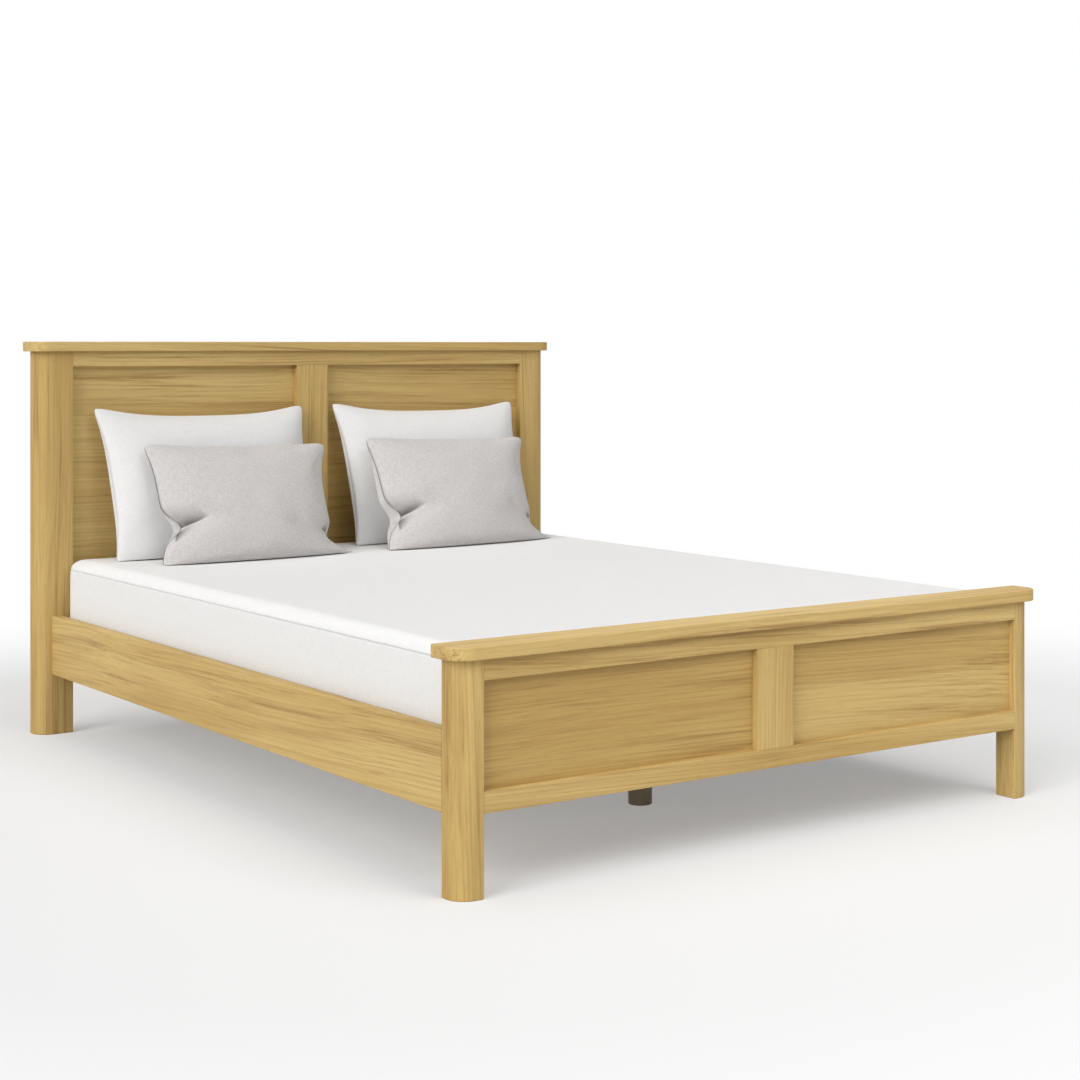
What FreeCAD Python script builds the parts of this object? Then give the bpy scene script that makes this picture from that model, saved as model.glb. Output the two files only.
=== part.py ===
import FreeCAD, Part
import math
import os

# Queen-size panel bed in oak: headboard, footboard, two side rails, slatted base on a centre
# beam with three screw-in legs, corner brackets and fasteners, mattress, pillows and cushions.
# Millimetres. +Z up, +Y towards the headboard. The origin is on the floor, under the middle of
# the bed's overall length and width.

# --- mattress and the space that it needs ------------------------------------------------------
mattress_width = 1530.0
mattress_length = 2030.0
mattress_height = 212.0
mattress_corner_radius = 45.0
mattress_edge_radius = 26.0
mattress_side_clearance = 5.0
mattress_foot_clearance = 16.0     # lets the mattress pass the footboard cap's inner edge
mattress_head_clearance = 4.0
rest_gap = 0.3                     # air between soft pieces and what carries them

# --- side rails --------------------------------------------------------------------------------
side_rail_thickness = 30.0
side_rail_height = 160.0
floor_clearance = 165.0            # from the floor to the underside of every rail
side_rail_ease = 2.0

# --- posts, caps, rails, stiles and panels -----------------------------------------------------
head_height = 1080.0
foot_height = 492.0
head_post_width = 100.0
foot_post_width = 60.0
post_depth = 60.0
post_corner_radius = 43.0
post_ease = 1.2
post_foot_chamfer = 2.0
cap_thickness = 27.0
cap_overhang = 15.0
cap_corner_radius = 45.0
cap_ease = 2.5
frame_rail_depth = 38.0
top_rail_height = 42.0
foot_bottom_rail_height = 42.0
head_bottom_rail_height = 100.0
stile_width = 102.0
frame_ease = 1.0
panel_thickness = 10.0
head_panel_recess = 22.0
foot_panel_recess = 17.0
panel_tongue = 8.0
groove_end_play = 1.0
groove_side_play = 0.1

# --- dowels in the headboard and footboard -----------------------------------------------------
dowel_diameter = 8.0
dowel_length = 36.0
dowel_end_play = 1.0
dowel_side_play = 0.05
dowel_chamfer = 0.8
narrow_rail_dowel_spacing = 16.0
wide_rail_dowel_spacing = 56.0
stile_dowel_spacing = 36.0
cap_dowel_count = 6
cap_dowel_end_inset = 120.0
dowel_from_front = 27.0            # dowel line behind the front face
upright_dowel_length = 24.0

# --- slatted base ------------------------------------------------------------------------------
slat_count = 14
slat_width = 80.0
slat_thickness = 18.0
slat_end_clearance = 3.0
slat_run_inset = 5.0               # first and last slat from the footboard and headboard
slat_ease = 2.0
ledger_width = 25.0
ledger_height = 22.0
ledger_end_inset = 6.0
slat_top_below_rail_top = 57.0
beam_width = 40.0
beam_height = 80.0

# --- screw-in centre legs ----------------------------------------------------------------------
leg_count = 3
leg_spacing = 600.0
leg_diameter = 56.0
leg_edge_radius = 3.0
leg_top_gap = 0.3
leg_stud_diameter = 8.0
leg_stud_in_leg = 40.0
leg_stud_in_beam = 30.0
leg_insert_diameter = 12.0
leg_insert_length = 25.0
leg_thread_play = 0.1
leg_stud_end_room = 2.0

# --- corner brackets, beam hangers, bolts and screws -------------------------------------------
bracket_thickness = 3.0
bracket_height = 50.0
bracket_rail_leg = 60.0
bracket_post_leg = 28.0
bracket_above_rail_bottom = 6.0
bracket_hole_spacing = 28.0
bracket_bolt_from_end = 38.0
bolt_diameter = 6.0
bolt_length = 25.0
bolt_head_diameter = 12.0
bolt_head_height = 3.6
bolt_head_dome = 2.2
bolt_key_diameter = 4.0
bolt_key_depth = 1.8
bolt_play = 0.3
insert_diameter = 10.0
insert_length = 15.0
insert_thread_play = 0.05
hanger_thickness = 2.0
hanger_height = 36.0
hanger_cup_length = 40.0
hanger_ear = 20.0
hanger_screw_spacing = 18.0
hanger_seat_gap = 0.2
screw_diameter = 4.0
screw_length = 35.0
screw_head_diameter = 8.0
screw_head_height = 2.6
screw_point_length = 4.0
screw_point_diameter = 1.0
screw_play = 0.1
slat_screw_from_end = 14.0
ledger_screw_count = 7
ledger_screw_end_inset = 75.0

# --- pillows and cushions: the seam's bottom and top edge as a distance in front of the headboard's
# rails and a height above the mattress ------------------------------------------------------------------
pillow_width = 636.0
pillow_bottom_out = 157.0
pillow_top_out = 15.0
pillow_bottom_rise = -14.0
pillow_top_rise = 410.0
pillow_front_bulge = 74.0
pillow_back_bulge = 97.0
pillow_side_pull = 20.0
pillow_end_pull = 17.0
pillow_contact_depth = 66.0        # flat where the cushion leans, in front of the seam plane
pillow_centres = (-362.0, 375.0)
cushion_width = 556.0
cushion_bottom_out = 307.0
cushion_top_out = 123.0
cushion_bottom_rise = -8.0
cushion_top_rise = 306.0
cushion_front_bulge = 72.0
cushion_back_bulge = 60.0
cushion_side_pull = 30.0
cushion_end_pull = 12.0
cushion_centres = (-316.0, 379.0)
soft_gap = 0.4                     # air between a pillow, a cushion and what they lean on

# --- worked out from the sizes above -----------------------------------------------------------
inner_half_width = mattress_width / 2 + mattress_side_clearance
rail_outer_half = inner_half_width + side_rail_thickness
post_inner_half = rail_outer_half - foot_post_width
inner_length = mattress_foot_clearance + mattress_length + mattress_head_clearance
total_length = inner_length + 2 * post_depth + 2 * cap_overhang
foot_front = -total_length / 2 + cap_overhang
foot_back = foot_front + post_depth
head_front = foot_back + inner_length
rail_bottom = floor_clearance
rail_top = rail_bottom + side_rail_height
slat_top = rail_top - slat_top_below_rail_top
slat_bottom = slat_top - slat_thickness
beam_bottom = slat_bottom - beam_height
mattress_bottom = slat_top + rest_gap
mattress_top = mattress_bottom + mattress_height
leg_positions = [leg_spacing * (i - (leg_count - 1) / 2) for i in range(leg_count)]

TOLERANCE = 1e-3                   # two places that differ by less are the same place

X_AXIS = FreeCAD.Vector(1, 0, 0)
Y_AXIS = FreeCAD.Vector(0, 1, 0)
Z_AXIS = FreeCAD.Vector(0, 0, 1)


# --- helpers -----------------------------------------------------------------------------------
def export(name, shape):
    """Write one piece, or one group of like pieces, as a STEP file."""
    shape.exportStep(f"parts/{name}.step")


def block(x0, x1, y0, y1, z0, z1):
    """A rectangular piece between two corners."""
    corner = FreeCAD.Vector(min(x0, x1), min(y0, y1), z0)
    return Part.makeBox(abs(x1 - x0), abs(y1 - y0), z1 - z0, corner)


def edges_where(shape, test):
    """The edges whose bounding box passes a test."""
    return [edge for edge in shape.Edges if test(edge.BoundBox)]


def round_rims(shape):
    """The closed circular edges of a round piece."""
    return [edge for edge in shape.Edges if len(edge.Vertexes) == 1]


def ease_along(shape, axis, radius):
    """Round every straight edge that runs along one axis."""
    def runs_along(box):
        spans = {"X": box.XLength, "Y": box.YLength, "Z": box.ZLength}
        across = [span for name, span in spans.items() if name != axis]
        return spans[axis] > 2 * radius and max(across) < TOLERANCE
    return shape.makeFillet(radius, edges_where(shape, runs_along))


def cylinder(radius, length, start, direction):
    """A round bar from its start point along a direction."""
    return Part.makeCylinder(radius, length, start, direction)


def rounded_plan(x_inner, x_outer, y_front, y_back, radius):
    """Plan outline of a post or half a cap: only the outer front corner is round."""
    side = math.copysign(1.0, x_outer - x_inner)
    bend = radius * (1 - math.sqrt(0.5))
    p_front = FreeCAD.Vector(x_outer - side * radius, y_front, 0)
    p_mid = FreeCAD.Vector(x_outer - side * bend, y_front + bend, 0)
    p_side = FreeCAD.Vector(x_outer, y_front + radius, 0)
    p_back = FreeCAD.Vector(x_outer, y_back, 0)
    p_inner_back = FreeCAD.Vector(x_inner, y_back, 0)
    p_inner_front = FreeCAD.Vector(x_inner, y_front, 0)
    return Part.Wire([
        Part.LineSegment(p_inner_front, p_front).toShape(),
        Part.Arc(p_front, p_mid, p_side).toShape(),
        Part.LineSegment(p_side, p_back).toShape(),
        Part.LineSegment(p_back, p_inner_back).toShape(),
        Part.LineSegment(p_inner_back, p_inner_front).toShape(),
    ])


# --- timber frames: headboard and footboard ----------------------------------------------------
def post(side, y_front, width, top):
    """A square post with its outer front corner rounded, standing on the floor."""
    inner = side * post_inner_half
    outline = rounded_plan(inner, inner + side * width, y_front, y_front + post_depth, post_corner_radius)
    body = Part.Face(outline).extrude(Z_AXIS * top)
    body = ease_along(body, "Z", post_ease)
    underside = edges_where(body, lambda box: box.ZMax < TOLERANCE)
    return body.makeChamfer(post_foot_chamfer, underside)


def cap(y_front, outer_half, top):
    """The moulding board on a frame's top: both front corners round in plan, all edges eased."""
    halves = []
    for side in (-1, 1):
        outline = rounded_plan(0, side * (outer_half + cap_overhang), y_front - cap_overhang,
                               y_front + post_depth + cap_overhang, cap_corner_radius)
        halves.append(Part.Face(outline).extrude(Z_AXIS * cap_thickness))
    board = halves[0].fuse(halves[1]).removeSplitter()
    board.translate(FreeCAD.Vector(0, 0, top - cap_thickness))
    low = board.BoundBox.ZMin
    rims = edges_where(board, lambda box: box.ZMin > top - TOLERANCE or box.ZMax < low + TOLERANCE)
    return board.makeFillet(cap_ease, rims)


def panel_box(side, y_front, recess, low, high, tongue, play):
    """The space of one panel: its tongue enters the frame on all four edges."""
    inner = side * (stile_width / 2 - tongue)
    outer = side * (post_inner_half + tongue)
    y0 = y_front + recess - play
    return block(inner, outer, y0, y0 + panel_thickness + 2 * play, low - tongue, high + tongue)


def dowel(centre, direction, length, play):
    """A dowel about its centre, or with play the hole that it sits in."""
    reach = length + 2 * dowel_end_play if play else length
    start = centre - direction * (reach / 2)
    bar = cylinder(dowel_diameter / 2 + play, reach, start, direction)
    if play:
        return bar
    return bar.makeChamfer(dowel_chamfer, round_rims(bar))


def dowel_places(y_front, bottom_height, bottom_spacing, panel_top, post_width):
    """Centre, direction and length of every dowel that joins one frame, clear of the grooves."""
    y = y_front + dowel_from_front
    groove_depth = panel_tongue + groove_end_play
    panel_low = rail_bottom + bottom_height
    top_mid = panel_top + (top_rail_height + groove_depth) / 2
    low_mid = rail_bottom + (bottom_height - groove_depth) / 2
    cap_joint = panel_top + top_rail_height
    places = []
    for side in (-1, 1):
        x = side * post_inner_half
        for step in (-0.5, 0.5):
            top_z = top_mid + step * narrow_rail_dowel_spacing
            low_z = low_mid + step * bottom_spacing
            places.append((FreeCAD.Vector(x, y, top_z), X_AXIS, dowel_length))
            places.append((FreeCAD.Vector(x, y, low_z), X_AXIS, dowel_length))
        stile_x = side * stile_dowel_spacing / 2
        over_post = side * (post_inner_half + post_width / 2)
        for upright_x, z in ((stile_x, panel_low), (stile_x, panel_top), (over_post, cap_joint)):
            places.append((FreeCAD.Vector(upright_x, y, z), Z_AXIS, upright_dowel_length))
    span = 2 * (post_inner_half - cap_dowel_end_inset)
    for index in range(cap_dowel_count):
        x = -span / 2 + span * index / (cap_dowel_count - 1)
        places.append((FreeCAD.Vector(x, y, cap_joint), Z_AXIS, upright_dowel_length))
    return places


def timber_frame(name, y_front, height, post_width, bottom_height, bottom_spacing, recess):
    """Posts, rails, centre stile, two panels and cap of one end of the bed, with their dowels."""
    under_cap = height - cap_thickness
    panel_top = under_cap - top_rail_height
    panel_low = rail_bottom + bottom_height
    y_rail = y_front + frame_rail_depth
    half = post_inner_half
    pieces = {
        f"{name}_post_left": post(-1, y_front, post_width, under_cap),
        f"{name}_post_right": post(1, y_front, post_width, under_cap),
        f"{name}_top_rail": block(-half, half, y_front, y_rail, panel_top, under_cap),
        f"{name}_bottom_rail": block(-half, half, y_front, y_rail, rail_bottom, panel_low),
        f"{name}_centre_stile": block(-stile_width / 2, stile_width / 2, y_front, y_rail,
                                      panel_low, panel_top),
        f"{name}_cap": cap(y_front, half + post_width, height),
    }
    for part_name, axis in (("top_rail", "X"), ("bottom_rail", "X"), ("centre_stile", "Z")):
        key = f"{name}_{part_name}"
        pieces[key] = ease_along(pieces[key], axis, frame_ease)
    tongue = panel_tongue + groove_end_play
    grooves = [panel_box(side, y_front, recess, panel_low, panel_top, tongue, groove_side_play)
               for side in (-1, 1)]
    places = dowel_places(y_front, bottom_height, bottom_spacing, panel_top, post_width)
    holes = [dowel(centre, way, length, dowel_side_play) for centre, way, length in places]
    cutter = Part.makeCompound(grooves + holes)
    for key in pieces:
        pieces[key] = pieces[key].cut(cutter)
    for side, word in ((-1, "left"), (1, "right")):
        pieces[f"{name}_panel_{word}"] = panel_box(side, y_front, recess, panel_low, panel_top,
                                                   panel_tongue, 0.0)
    pegs = [dowel(centre, way, length, 0.0) for centre, way, length in places]
    pieces[f"{name}_dowels"] = Part.makeCompound(pegs)
    return pieces


# --- fasteners ---------------------------------------------------------------------------------
def wood_screw(tip_way, head_face, play):
    """A countersunk wood screw whose head is flush with a face, or with play its hole."""
    head = Part.makeCone(screw_head_diameter / 2 + play, screw_diameter / 2 + play,
                         screw_head_height, head_face, tip_way)
    plain_start = head_face + tip_way * screw_head_height
    plain_length = screw_length - screw_head_height - screw_point_length
    shank = cylinder(screw_diameter / 2 + play, plain_length, plain_start, tip_way)
    tip = Part.makeCone(screw_diameter / 2 + play, screw_point_diameter / 2 + play, screw_point_length,
                        plain_start + tip_way * plain_length, tip_way)
    return head.fuse(shank).fuse(tip).removeSplitter()


def bolt(way, seat):
    """A domed machine bolt: its head stands on the seat and its shank runs along the way."""
    crown = seat - way * bolt_head_height
    head = cylinder(bolt_head_diameter / 2, bolt_head_height, crown, way)
    rim = [edge for edge in round_rims(head) if (edge.CenterOfMass - crown).Length < TOLERANCE]
    head = head.makeFillet(bolt_head_dome, rim)
    key_socket = cylinder(bolt_key_diameter / 2, bolt_key_depth, crown, way)
    shank = cylinder(bolt_diameter / 2, bolt_length, seat, way)
    return head.cut(key_socket).fuse(shank)


def ring(outer, inner, length, start, way):
    """A threaded insert: a plain ring of metal."""
    return cylinder(outer, length, start, way).cut(cylinder(inner, length, start, way))


def corner_parts():
    """Brackets, bolts and inserts that fasten the side rails to the posts, and the holes they need."""
    brackets = {}
    bolts = []
    inserts = []
    holes = []
    z_low = rail_bottom + bracket_above_rail_bottom
    z_bolts = [z_low + bracket_height / 2 + step * bracket_hole_spacing / 2 for step in (-1, 1)]
    for end, y_post, y_way in (("foot", foot_back, 1), ("head", head_front, -1)):
        for word, side in (("left", -1), ("right", 1)):
            x_rail = side * inner_half_width
            x_in = x_rail - side * bracket_post_leg
            x_plate = x_rail - side * bracket_thickness
            y_plate = y_post + y_way * bracket_thickness
            on_post = block(x_rail, x_in, y_post, y_plate, z_low, z_low + bracket_height)
            on_rail = block(x_rail, x_plate, y_post, y_post + y_way * bracket_rail_leg,
                            z_low, z_low + bracket_height)
            bracket = on_post.fuse(on_rail).removeSplitter()
            x_mid = x_in + side * (bracket_post_leg - bracket_thickness) / 2
            for z in z_bolts:
                into_post = (Y_AXIS * -y_way, FreeCAD.Vector(x_mid, y_plate, z),
                             FreeCAD.Vector(x_mid, y_post, z))
                y_bolt = y_post + y_way * bracket_bolt_from_end
                into_rail = (X_AXIS * side, FreeCAD.Vector(x_plate, y_bolt, z),
                             FreeCAD.Vector(x_rail, y_bolt, z))
                for way, seat, wood in (into_post, into_rail):
                    bolts.append(bolt(way, seat))
                    inserts.append(ring(insert_diameter / 2, bolt_diameter / 2 + insert_thread_play,
                                        insert_length, wood, way))
                    shaft = bolt_length + bolt_play
                    clear = bolt_diameter / 2 + bolt_play
                    bracket = bracket.cut(cylinder(clear, shaft, seat, way))
                    holes.append(cylinder(clear, shaft, seat, way))
                    holes.append(cylinder(insert_diameter / 2, insert_length, wood, way))
            brackets[f"corner_bracket_{end}_{word}"] = bracket
    return brackets, bolts, inserts, holes


def beam_hanger(y_board, y_way):
    """A steel cup screwed to a bottom rail: back plate with two ears, floor and two cheeks."""
    half = beam_width / 2 + hanger_seat_gap
    outer = half + hanger_thickness
    low = beam_bottom - hanger_thickness
    top = low + hanger_height
    y_plate = y_board + y_way * hanger_thickness
    y_end = y_board + y_way * hanger_cup_length
    plate = block(-outer - hanger_ear, outer + hanger_ear, y_board, y_plate, low, top)
    floor = block(-outer, outer, y_board, y_end, low, beam_bottom)
    cheeks = [block(side * half, side * outer, y_board, y_end, low, top) for side in (-1, 1)]
    return plate.fuse([floor] + cheeks).removeSplitter()


def hanger_screw_seats(y_board, y_way):
    """Where the two screws in each ear of a beam hanger start, and which way they go."""
    x = beam_width / 2 + hanger_seat_gap + hanger_thickness + hanger_ear / 2
    middle = beam_bottom - hanger_thickness + hanger_height / 2
    y = y_board + y_way * hanger_thickness
    return [(Y_AXIS * -y_way, FreeCAD.Vector(side * x, y, middle + step * hanger_screw_spacing / 2))
            for side in (-1, 1) for step in (-1, 1)]


# --- slatted base ------------------------------------------------------------------------------
def slat_centres():
    """Middle of each slat along the bed."""
    first = foot_back + slat_run_inset + slat_width / 2
    last = head_front - slat_run_inset - slat_width / 2
    return [first + (last - first) * index / (slat_count - 1) for index in range(slat_count)]


def slat(y):
    """One pine slat that lies on both ledgers and on the beam."""
    half = inner_half_width - slat_end_clearance
    board = block(-half, half, y - slat_width / 2, y + slat_width / 2, slat_bottom, slat_top)
    return ease_along(board, "X", slat_ease)


def ledger(side):
    """The strip inside a side rail that carries the slat ends."""
    inner = side * (inner_half_width - ledger_width)
    return block(inner, side * inner_half_width, foot_back + ledger_end_inset,
                 head_front - ledger_end_inset, slat_bottom - ledger_height, slat_bottom)


def slat_screw_seats(y):
    """The screws of one slat: one in each end, straight down into the ledger."""
    x = inner_half_width - slat_end_clearance - slat_screw_from_end
    return [(Z_AXIS * -1, FreeCAD.Vector(side * x, y, slat_top)) for side in (-1, 1)]


def ledger_screw_seats():
    """The screws that hold each ledger to its rail, between its ends."""
    seats = []
    span = inner_length - 2 * (ledger_end_inset + ledger_screw_end_inset)
    z = slat_bottom - ledger_height / 2
    for side in (-1, 1):
        for index in range(ledger_screw_count):
            y = (foot_back + head_front) / 2 - span / 2 + span * index / (ledger_screw_count - 1)
            seats.append((X_AXIS * side, FreeCAD.Vector(side * (inner_half_width - ledger_width), y, z)))
    return seats


# --- centre legs -------------------------------------------------------------------------------
def leg_axis_point(y, z):
    """A point on a centre leg's axis."""
    return FreeCAD.Vector(0, y, z)


def centre_leg(y):
    """A round plastic leg under the beam, bored from the top for its stud."""
    height = beam_bottom - leg_top_gap
    body = cylinder(leg_diameter / 2, height, leg_axis_point(y, 0), Z_AXIS)
    body = body.makeFillet(leg_edge_radius, round_rims(body))
    bore_floor = leg_axis_point(y, height - leg_stud_in_leg)
    return body.cut(cylinder(leg_stud_diameter / 2, leg_stud_in_leg, bore_floor, Z_AXIS))


def leg_stud(y):
    """The threaded stud: fixed in the leg, screwed into the insert in the beam."""
    start = beam_bottom - leg_top_gap - leg_stud_in_leg
    length = leg_stud_in_leg + leg_top_gap + leg_stud_in_beam
    return cylinder(leg_stud_diameter / 2, length, leg_axis_point(y, start), Z_AXIS)


def leg_insert(y):
    """The threaded insert in the beam that a leg's stud runs in."""
    bore = leg_stud_diameter / 2 + leg_thread_play
    return ring(leg_insert_diameter / 2, bore, leg_insert_length, leg_axis_point(y, beam_bottom), Z_AXIS)


def leg_holes(y):
    """What is bored out of the beam for one insert and its stud."""
    seat = cylinder(leg_insert_diameter / 2, leg_insert_length, leg_axis_point(y, beam_bottom), Z_AXIS)
    room = cylinder(leg_stud_diameter / 2 + leg_thread_play, leg_stud_in_beam + leg_stud_end_room,
                    leg_axis_point(y, beam_bottom), Z_AXIS)
    return [seat, room]


# --- soft pieces -------------------------------------------------------------------------------
def mattress():
    """A block with round corners and a soft shoulder along its top and bottom."""
    body = block(-mattress_width / 2, mattress_width / 2,
                 foot_back + mattress_foot_clearance, head_front - mattress_head_clearance,
                 mattress_bottom, mattress_top)
    body = ease_along(body, "Z", mattress_corner_radius)
    rims = edges_where(body, lambda box: box.ZLength < TOLERANCE)
    return body.makeFillet(mattress_edge_radius, rims)


def contact_plane(z):
    """How far forward a pillow's front is flat for its cushion: a plane along the pillow's lean."""
    lean = pillow_bottom_out - pillow_top_out
    rise = pillow_top_rise - pillow_bottom_rise
    slope = lean / rise
    out_at_z = pillow_bottom_out - slope * (z - mattress_top - pillow_bottom_rise)
    return head_front - out_at_z - pillow_contact_depth * math.hypot(slope, 1.0)


def lens_face(centre, width, seam_low, seam_high, bulge, side_pull, end_pull, keep_clear):
    """One half of a pillow as a smooth surface over its seam outline.

    a runs across and b up, from -1 to 1. The seam pulls in between the corners, and the bulge
    is the root of (1 - a^2)(1 - b^2). keep_clear moves a point off what the pillow rests on.
    """
    across = 13
    up = 11
    degree = 3
    dy = seam_high[0] - seam_low[0]
    dz = seam_high[1] - seam_low[1]
    length = math.hypot(dy, dz)
    rows = []
    for i in range(across):
        a = math.sin(math.pi * (i / (across - 1) - 0.5))
        row = []
        for j in range(up):
            b = math.sin(math.pi * (j / (up - 1) - 0.5))
            x = centre + a * (width / 2 - side_pull * (1 - b * b))
            share = 0.5 + 0.5 * b * (1 - 2 * end_pull / length * (1 - a * a))
            lift = bulge * math.sqrt((1 - a * a) * (1 - b * b))
            y = seam_low[0] + share * dy + lift * dz / length
            z = seam_low[1] + share * dz - lift * dy / length
            row.append(keep_clear(x, y, z))
        rows.append(row)
    u_knots = list(range(across - degree + 1))
    v_knots = list(range(up - degree + 1))
    u_counts = [degree + 1] + [1] * (len(u_knots) - 2) + [degree + 1]
    v_counts = [degree + 1] + [1] * (len(v_knots) - 2) + [degree + 1]
    surface = Part.BSplineSurface()
    surface.buildFromPolesMultsKnots(rows, u_counts, v_counts, u_knots, v_knots, False, False,
                                     degree, degree)
    return surface.toShape()


def lens_solid(front, back):
    """Close two halves of a pillow along their shared seam."""
    shell = Part.Shell([front, back])
    shell.sewShape()
    body = Part.Solid(shell)
    if body.Volume < 0:
        body.reverse()
    return body


def pillow(centre):
    """A bed pillow: stands on the mattress and leans on the headboard panel."""
    low = (head_front - pillow_bottom_out, mattress_top + pillow_bottom_rise)
    high = (head_front - pillow_top_out, mattress_top + pillow_top_rise)
    behind = head_front + head_panel_recess - soft_gap

    def clear(x, y, z):
        z = max(z, mattress_top + soft_gap)
        return FreeCAD.Vector(x, min(max(y, contact_plane(z)), behind), z)

    halves = [lens_face(centre, pillow_width, low, high, bulge, pillow_side_pull, pillow_end_pull, clear)
              for bulge in (-pillow_front_bulge, pillow_back_bulge)]
    return lens_solid(*halves)


def cushion(centre):
    """A small cushion: lies against the pillow's front, with its lower edge on the mattress."""
    low = (head_front - cushion_bottom_out, mattress_top + cushion_bottom_rise)
    high = (head_front - cushion_top_out, mattress_top + cushion_top_rise)

    def clear(x, y, z):
        z = max(z, mattress_top + soft_gap)
        return FreeCAD.Vector(x, min(y, contact_plane(z) - soft_gap), z)

    halves = [lens_face(centre, cushion_width, low, high, bulge, cushion_side_pull, cushion_end_pull, clear)
              for bulge in (-cushion_front_bulge, cushion_back_bulge)]
    return lens_solid(*halves)


# --- put the bed together ----------------------------------------------------------------------
os.makedirs("parts", exist_ok=True)

headboard = timber_frame("headboard", head_front, head_height, head_post_width,
                         head_bottom_rail_height, wide_rail_dowel_spacing, head_panel_recess)
footboard = timber_frame("footboard", foot_front, foot_height, foot_post_width,
                         foot_bottom_rail_height, narrow_rail_dowel_spacing, foot_panel_recess)
brackets, bolts, inserts, corner_holes = corner_parts()
corner_cutter = Part.makeCompound(corner_holes)

side_rails = {}
for word, side in (("left", -1), ("right", 1)):
    rail = block(side * inner_half_width, side * rail_outer_half, foot_back, head_front,
                 rail_bottom, rail_top)
    side_rails[f"side_rail_{word}"] = ease_along(rail, "Y", side_rail_ease)

foot_board_face = foot_front + frame_rail_depth
beam = block(-beam_width / 2, beam_width / 2, foot_board_face + hanger_thickness,
             head_front - hanger_thickness, beam_bottom, slat_bottom)
for y in leg_positions:
    beam = beam.cut(Part.makeCompound(leg_holes(y)))

ledgers = {"slat_ledger_left": ledger(-1), "slat_ledger_right": ledger(1)}
slats = {f"slat_{number:02d}": slat(y) for number, y in enumerate(slat_centres(), start=1)}
hangers = {"beam_hanger_foot": beam_hanger(foot_board_face, 1),
           "beam_hanger_head": beam_hanger(head_front, -1)}

screw_seats = ledger_screw_seats()
for y in slat_centres():
    screw_seats += slat_screw_seats(y)
screw_seats += hanger_screw_seats(foot_board_face, 1) + hanger_screw_seats(head_front, -1)
screw_cutter = Part.makeCompound([wood_screw(way, seat, screw_play) for way, seat in screw_seats])

takes_bolts = ("post", "side_rail")
takes_screws = ("slat", "side_rail", "hanger", "bottom_rail")
for name, piece in {**headboard, **footboard, **side_rails, **ledgers, **slats, **hangers}.items():
    if any(word in name for word in takes_bolts):
        piece = piece.cut(corner_cutter)
    if any(word in name for word in takes_screws):
        piece = piece.cut(screw_cutter)
    export(name, piece)

for name, piece in brackets.items():
    export(name, piece)
export("centre_beam", beam)
export("bracket_bolts", Part.makeCompound(bolts))
export("bracket_inserts", Part.makeCompound(inserts))
export("wood_screws", Part.makeCompound([wood_screw(way, seat, 0.0) for way, seat in screw_seats]))
export("leg_inserts", Part.makeCompound([leg_insert(y) for y in leg_positions]))
for word, y in zip(("front", "middle", "rear"), leg_positions):
    export(f"centre_leg_{word}", centre_leg(y))
    export(f"leg_stud_{word}", leg_stud(y))

export("mattress", mattress())
for word, pillow_x, cushion_x in zip(("left", "right"), pillow_centres, cushion_centres):
    export(f"pillow_{word}", pillow(pillow_x))
    export(f"cushion_{word}", cushion(cushion_x))
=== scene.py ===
import math
from dataclasses import dataclass

import bpy
import numpy as np
from bpy.props import FloatProperty, FloatVectorProperty, PointerProperty
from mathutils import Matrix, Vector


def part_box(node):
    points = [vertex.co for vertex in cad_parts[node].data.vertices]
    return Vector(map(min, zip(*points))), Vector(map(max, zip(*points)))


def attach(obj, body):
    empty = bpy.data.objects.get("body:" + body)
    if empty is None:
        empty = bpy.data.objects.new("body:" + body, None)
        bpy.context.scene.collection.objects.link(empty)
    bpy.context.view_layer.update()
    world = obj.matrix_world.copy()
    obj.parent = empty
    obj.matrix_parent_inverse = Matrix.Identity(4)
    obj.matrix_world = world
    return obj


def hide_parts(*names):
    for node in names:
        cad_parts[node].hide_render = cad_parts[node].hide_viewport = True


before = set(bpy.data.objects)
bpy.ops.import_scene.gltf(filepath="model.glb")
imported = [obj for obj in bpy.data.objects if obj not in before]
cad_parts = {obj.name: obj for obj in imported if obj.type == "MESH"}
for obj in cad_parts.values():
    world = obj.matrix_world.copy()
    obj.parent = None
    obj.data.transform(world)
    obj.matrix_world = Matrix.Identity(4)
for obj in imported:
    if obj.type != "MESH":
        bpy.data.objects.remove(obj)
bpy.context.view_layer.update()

# Finishes and soft goods of a queen panel bed in oak: grained timber, knitted mattress cover,
# cotton pillows and linen cushions. Metres, +Z up, +Y towards the headboard.

bl_info = {
    "name": "Oak panel bed",
    "version": (1, 0, 0),
    "blender": (4, 5, 0),
    "location": "View3D > Sidebar > Bed",
    "description": "Finishes an oak panel bed and makes its mattress, pillows and cushions",
    "category": "Object",
}

# --- places taken from the frame ---
MATTRESS_LOW, MATTRESS_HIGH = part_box("mattress")
MATTRESS_TOP = MATTRESS_HIGH[2]
RAIL_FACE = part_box("headboard_top_rail")[0][1]
PANEL_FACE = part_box("headboard_panel_left")[0][1]
CLOTH_MAP = "cloth"
# Point attribute of painted shade: how far seams, creases and the mattress's grooves darken the cloth's
# colour, where their shadow would fall.
PAINTED_SHADE_MAP = "seam"


# --- settings that a user would change ---
def colour(label, text, value):
    """A colour setting."""
    return FloatVectorProperty(name=label, description=text, subtype="COLOR", size=3, min=0.0, max=1.0,
                               default=value)


def length(label, text, value):
    """A length setting in metres."""
    return FloatProperty(name=label, description=text, unit="LENGTH", subtype="DISTANCE", default=value)


def share(label, text, value):
    """A setting from 0 to 1."""
    return FloatProperty(name=label, description=text, subtype="FACTOR", min=0.0, max=1.0, default=value)


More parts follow.
